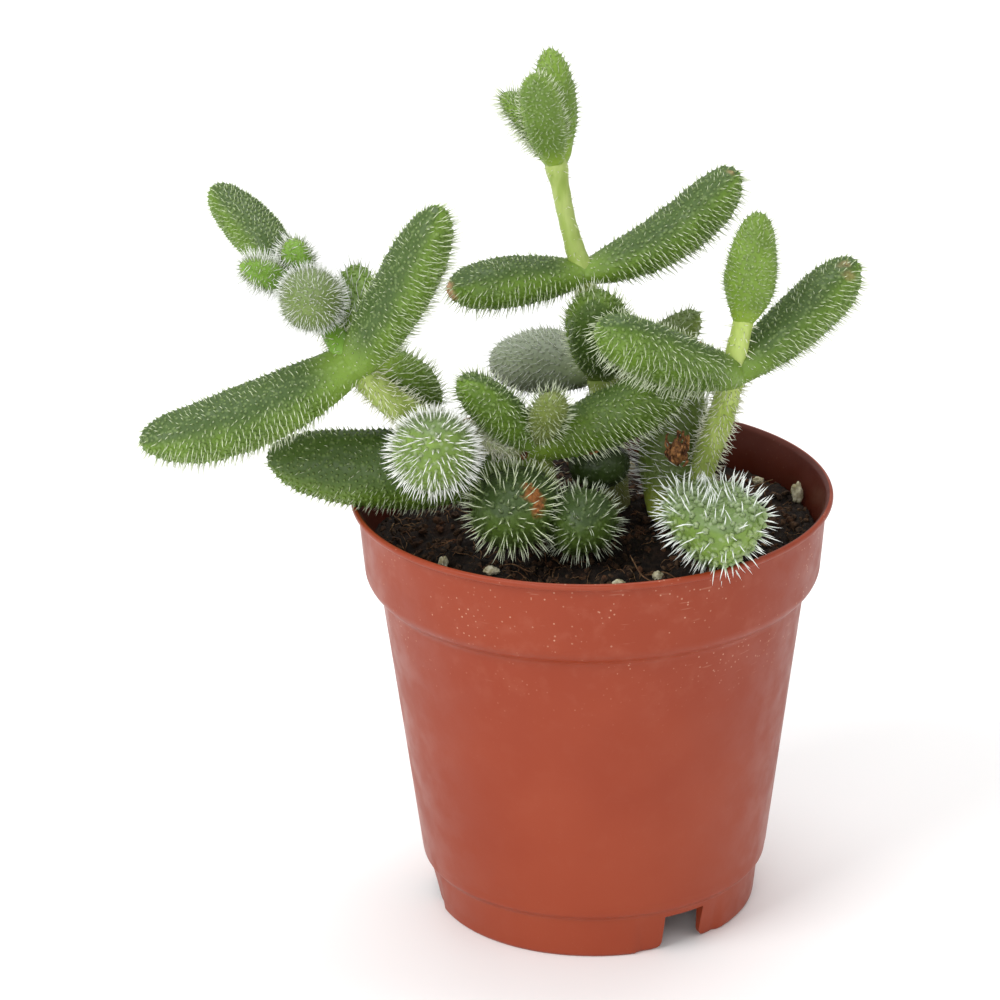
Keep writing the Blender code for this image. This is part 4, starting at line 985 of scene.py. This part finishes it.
def build_soil():
    rows, cols = 96, 240
    edge = 25.45
    r = np.linspace(0, 1, rows + 1)[1:] ** 0.85 * edge
    a = np.arange(cols) * 2 * math.pi / cols
    R, A = np.meshgrid(r, a, indexing="ij")
    x, y = R * np.cos(A), R * np.sin(A)
    z = fine_soil(x, y)
    z = z - 0.5 * np.clip((R - 24.3) / 1.2, 0, 1)
    top = np.stack([x, y, z], -1).reshape(-1, 3)
    centre = np.array([[0, 0, float(fine_soil(np.array([0.0]), np.array([0.0]))[0])]])
    sides = []
    for zz, rr in ((40.6, 24.8), (39.0, 23.1), (7.0, 18.8), (5.9, 18.05)):
        sides.append(np.stack([rr * np.cos(a), rr * np.sin(a), np.full(cols, zz)], -1))
    verts = np.concatenate([top] + sides + [centre, [[0, 0, 5.9]]])
    quads = grid_faces(rows + 4, cols)[:, [0, 3, 2, 1]]
    k = np.arange(cols)
    c = len(verts) - 2
    lastring = (rows + 3) * cols
    caps = np.concatenate([np.stack([np.full(cols, c), k, (k + 1) % cols], 1),
                           np.stack([lastring + (k + 1) % cols, lastring + k, np.full(cols, c + 1)], 1)])
    obj = to_object("soil_bed", verts, [quads, caps], [BED])
    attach(obj, "root")
    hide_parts("soil")
    return obj


def ico(level):
    import bmesh
    bm = bmesh.new()
    bmesh.ops.create_icosphere(bm, subdivisions=level, radius=1.0)
    v = np.array([list(q.co) for q in bm.verts])
    f = np.array([[w.index for w in t.verts] for t in bm.faces])
    bm.free()
    return v, f


def rotation(rng):
    q = rng.normal(0, 1, 4)
    q /= np.linalg.norm(q)
    w, x, y, z = q
    return np.array([[1 - 2 * (y * y + z * z), 2 * (x * y - z * w), 2 * (x * z + y * w)],
                     [2 * (x * y + z * w), 1 - 2 * (x * x + z * z), 2 * (y * z - x * w)],
                     [2 * (x * z - y * w), 2 * (y * z + x * w), 1 - 2 * (x * x + y * y)]])


def build_crumbs():
    rng = np.random.default_rng(5)
    fine, coarse = ico(2), ico(1)
    verts, faces, kinds = [], [], []
    first = 0
    for i in range(2300):
        r = 24.9 * math.sqrt(rng.uniform(0, 1))
        a = rng.uniform(0, 2 * math.pi)
        x, y = r * math.cos(a), r * math.sin(a)
        size = min(0.14 + 0.58 * rng.uniform(0, 1) ** 2.4, 25.35 - r)
        if size < 0.12:
            continue
        v0, f0 = fine if size > 0.25 else coarse
        v = v0 * np.array([1.0, rng.uniform(0.5, 0.95), rng.uniform(0.4, 0.8)]) * size
        n = v0 * 1.7 + i * 7.1
        v = v * (1 + 0.45 * wobble(n, 1.0, 2.0))[:, None]
        v = v @ rotation(rng).T
        z = float(fine_soil(np.array([x]), np.array([y]))[0])
        verts.append(v + [x, y, z + size * rng.uniform(0.0, 0.5)])
        faces.append(f0 + first)
        first += len(v0)
        kinds.append(np.full(len(f0), int(rng.uniform(0, 1) < 0.68)))
    faces = np.concatenate(faces)
    slots = np.concatenate(kinds)
    obj = to_object("soil_crumbs", np.concatenate(verts), [faces], [SOIL, CRUMB], slots=slots, smooth=False)
    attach(obj, "root")


def strand(path, radius, sides=5, taper=0.5):
    path = np.array(path, float)
    n = len(path)
    radii = radius * (1 - taper * np.abs(np.linspace(-1, 1, n)) ** 2)
    rings, _, _ = sweep(path, radii, sides)
    verts = rings.reshape(-1, 3)
    quads = grid_faces(n, sides)
    k = np.arange(1, sides - 1)
    last = (n - 1) * sides
    caps = np.concatenate([np.stack([np.zeros(len(k), int), k + 1, k], 1),
                           np.stack([np.full(len(k), last), last + k, last + k + 1], 1)])
    return verts, quads, caps


def build_fibres():
    rng = np.random.default_rng(8)
    verts, quads, tris = [], [], []
    first = 0

    def add(path, radius, taper=0.5):
        nonlocal first
        v, q, c = strand(path, radius, 5, taper)
        verts.append(v)
        quads.append(q + first)
        tris.append(c + first)
        first += len(v)

    for i in range(330):
        r = 24.0 * math.sqrt(rng.uniform(0, 1))
        a = rng.uniform(0, 2 * math.pi)
        x, y = r * math.cos(a), r * math.sin(a)
        span = rng.uniform(1.0, 4.0)
        h = rng.uniform(0, 2 * math.pi)
        kink = rng.uniform(-0.35, 0.35)
        path = []
        for s in np.linspace(-0.5, 0.5, 7):
            px = x + math.cos(h + kink * s) * span * s
            py = y + math.sin(h + kink * s) * span * s
            rr = math.hypot(px, py)
            if rr > 25.0:
                px, py = px * 25.0 / rr, py * 25.0 / rr
            pz = float(fine_soil(np.array([px]), np.array([py]))[0]) + 0.10 + 0.25 * (1 - 4 * s * s)
            path.append((px, py, pz))
        add(path, rng.uniform(0.035, 0.085))
    # a few longer straws that stand clear of the compost
    for x0, y0, h, span, lift in ((5.4, -14.5, 2.0, 5.5, 1.5), (-8.5, -11.5, -0.7, 4.2, 0.9), (-20.5, -7.0, 1.2, 3.6, 0.6),
                                  (19.5, 9.5, 0.3, 3.2, 0.8), (9.0, -16.0, 2.6, 3.0, 0.7)):
        path = []
        for s in np.linspace(-0.5, 0.5, 9):
            px, py = x0 + math.cos(h) * span * s, y0 + math.sin(h) * span * s
            pz = float(soil_height(np.array([px]), np.array([py]))[0]) + 0.6 + lift * (0.5 + s)
            path.append((px, py, pz))
        add(path, 0.09)
    obj = to_object("soil_fibres", np.concatenate(verts), [np.concatenate(quads), np.concatenate(tris)], [FIBRE])
    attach(obj, "root")


build_soil()
build_crumbs()
build_fibres()


def grain_material():
    mat, tree, shader, coords = node_material("perlite_white", 0.85, 0.1)
    tone = remap(tree, noise_tex(tree, coords, 1200.0, 4.0), 0.35, 0.68)
    colour = mix(tree, tone, (0.30, 0.26, 0.15), (0.66, 0.62, 0.46))
    tree.links.new(colour, shader.inputs["Base Color"])
    bump(tree, shader, noise_tex(tree, coords, 2600.0, 3.0), 0.6, 0.0002)
    return mat


PERLITE = grain_material()
v3, f3 = ico(4)
for i in range(1, 9):
    name = "perlite_%d" % i
    low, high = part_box(name)
    centre = (np.array(low + high) / 2 - AXIS) / MM
    size = np.array(high - low) / MM / 2
    v = v3 * size * (1 + 0.38 * wobble(v3 * 1.5, 1.0, i) + 0.16 * wobble(v3 * 4.0, 1.0, i + 20))[:, None] * 0.98
    obj = to_object(name, v + centre - [0, 0, 0.25], [f3], [PERLITE])
    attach(obj, "root")
    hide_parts(name)


# ------------------------------------------------------------------ dried bud
def bud_material():
    mat, tree, shader, coords = node_material("dry_brown", 0.8)
    tone = remap(tree, noise_tex(tree, coords, 1500.0, 4.0), 0.35, 0.65)
    colour = mix(tree, tone, (0.060, 0.020, 0.008), (0.330, 0.150, 0.050))
    tree.links.new(colour, shader.inputs["Base Color"])
    bump(tree, shader, tone, 0.6, 0.0002)
    return mat


DRY = bud_material()


def build_bud():
    rng = np.random.default_rng(12)
    low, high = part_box("dry_bud")
    centre = (np.array(low + high) / 2 - AXIS) / MM
    verts, quads, tris = [], [], []
    first = 0
    v, f = ico(3)
    core = v * [0.9, 0.85, 1.5] * (1 + 0.25 * wobble(v * 2.0, 1.0, 4.0))[:, None]
    verts.append(core + centre)
    tris.append(f)
    first = len(core)
    for i in range(34):   # withered strap-shaped petals folded over the core
        a = rng.uniform(0, 2 * math.pi)
        z0 = rng.uniform(-1.6, 1.2)
        out = np.array([math.cos(a), math.sin(a), 0])
        side = np.array([-math.sin(a), math.cos(a), 0])
        path = []
        twist = rng.uniform(-0.6, 0.6)
        for s in np.linspace(0, 1, 6):
            q = centre + out * (0.75 + 0.55 * math.sin(s * 2.6)) + side * twist * s + np.array([0, 0, z0 + s * rng.uniform(0.9, 1.5)])
            q = centre + np.clip(q - centre, [-1.5, -1.4, -2.2], [1.5, 1.4, 2.2])
            path.append(q)
        sv, sq, sc = strand(path, rng.uniform(0.10, 0.20), 5)
        verts.append(sv)
        quads.append(sq + first)
        tris.append(sc + first)
        first += len(sv)
    obj = to_object("dry_bud_petals", np.concatenate(verts), [np.concatenate(quads), np.concatenate(tris)], [DRY])
    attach(obj, "root")
    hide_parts("dry_bud")


build_bud()


def build_dry_scale(name, centre, size, turn, seed):
    """A small shrivelled scale left where an old leaf has dropped."""
    rng = np.random.default_rng(seed)
    v, f = ico(3)
    body = v * np.array(size) * (1 + 0.40 * wobble(v * 2.2, 1.0, seed))[:, None]
    a = math.radians(turn)
    spin = np.array([[math.cos(a), 0, math.sin(a)], [0, 1, 0], [-math.sin(a), 0, math.cos(a)]])
    obj = to_object(name, body @ spin.T + np.array(centre), [f], [DRY])
    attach(obj, "root")


build_dry_scale("dry_scale_node", (-7.6, -4.7, 56.6), (0.45, 0.4, 0.75), 15, 3)
build_dry_scale("dry_scale_under", (-0.4, -4.0, 56.6), (1.3, 0.5, 0.42), -12, 6)


# ------------------------------------------------------------------ floor, light, camera
def floor_material():
    mat, tree, shader, coords = node_material("studio_floor", 0.85)
    tone = remap(tree, noise_tex(tree, coords, 4.0, 2.0), 0.3, 0.7)
    tree.links.new(mix(tree, tone, (0.93, 0.93, 0.93), (0.95, 0.95, 0.95)), shader.inputs["Base Color"])
    return mat


bpy.ops.mesh.primitive_circle_add(vertices=96, radius=2.5, fill_type="NGON", location=(0, 0, 0))
floor = bpy.context.object
floor.name = "studio_floor"
floor.data.materials.append(floor_material())
floor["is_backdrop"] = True

world = bpy.data.worlds.new("studio")
SCENE.world = world
world.use_nodes = True
world.node_tree.nodes["Background"].inputs["Color"].default_value = (1, 1, 1, 1)
world.node_tree.nodes["Background"].inputs["Strength"].default_value = 0.60


def softbox(name, place, aim, size, power):
    data = bpy.data.lights.new(name, "AREA")
    data.shape = "RECTANGLE"
    data.size, data.size_y = size
    data.energy = power
    lamp = bpy.data.objects.new(name, data)
    SCENE.collection.objects.link(lamp)
    lamp.location = place
    lamp.rotation_mode = "QUATERNION"
    lamp.rotation_quaternion = (Vector(aim) - Vector(place)).to_track_quat("-Z", "Y")
    return lamp


softbox("key_left", (-0.55, -0.45, 0.65), (0, 0, 0.05), (0.5, 0.5), 4.9)
softbox("fill_right", (0.75, -0.35, 0.35), (0, 0, 0.05), (0.6, 0.6), 0.9)
softbox("top", (0.05, 0.25, 0.85), (0, 0, 0.05), (0.7, 0.5), 3.7)

softbox("front", (-0.10, -1.10, 0.30), (0, 0, 0.05), (0.7, 0.5), 3.6)

YAW, PITCH, ROLL = math.radians(-1.08), math.radians(22.42), math.radians(-0.75)
forward = Vector((math.sin(YAW) * math.cos(PITCH), math.cos(YAW) * math.cos(PITCH), -math.sin(PITCH)))
right = Vector((math.cos(YAW), -math.sin(YAW), 0.0))
up = right.cross(forward)
right_r = right * math.cos(ROLL) + up * math.sin(ROLL)
up_r = up * math.cos(ROLL) - right * math.sin(ROLL)
camera_data = bpy.data.cameras.new("camera")
camera_data.sensor_width = 36.0
camera_data.lens = 189.6
camera_data.clip_start, camera_data.clip_end = 0.02, 20.0
camera = bpy.data.objects.new("camera", camera_data)
SCENE.collection.objects.link(camera)
turn = Matrix((right_r, up_r, -forward)).transposed().to_4x4()
camera.matrix_world = Matrix.Translation((AXIS[0], AXIS[1] - 0.5563, 0.2786)) @ turn
SCENE.camera = camera
SCENE.view_settings.view_transform = "Standard"
SCENE.view_settings.look = "None"

total = 0
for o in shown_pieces():
    o.data.calc_loop_triangles()
    total += len(o.data.loop_triangles)
print("visible triangles", total)
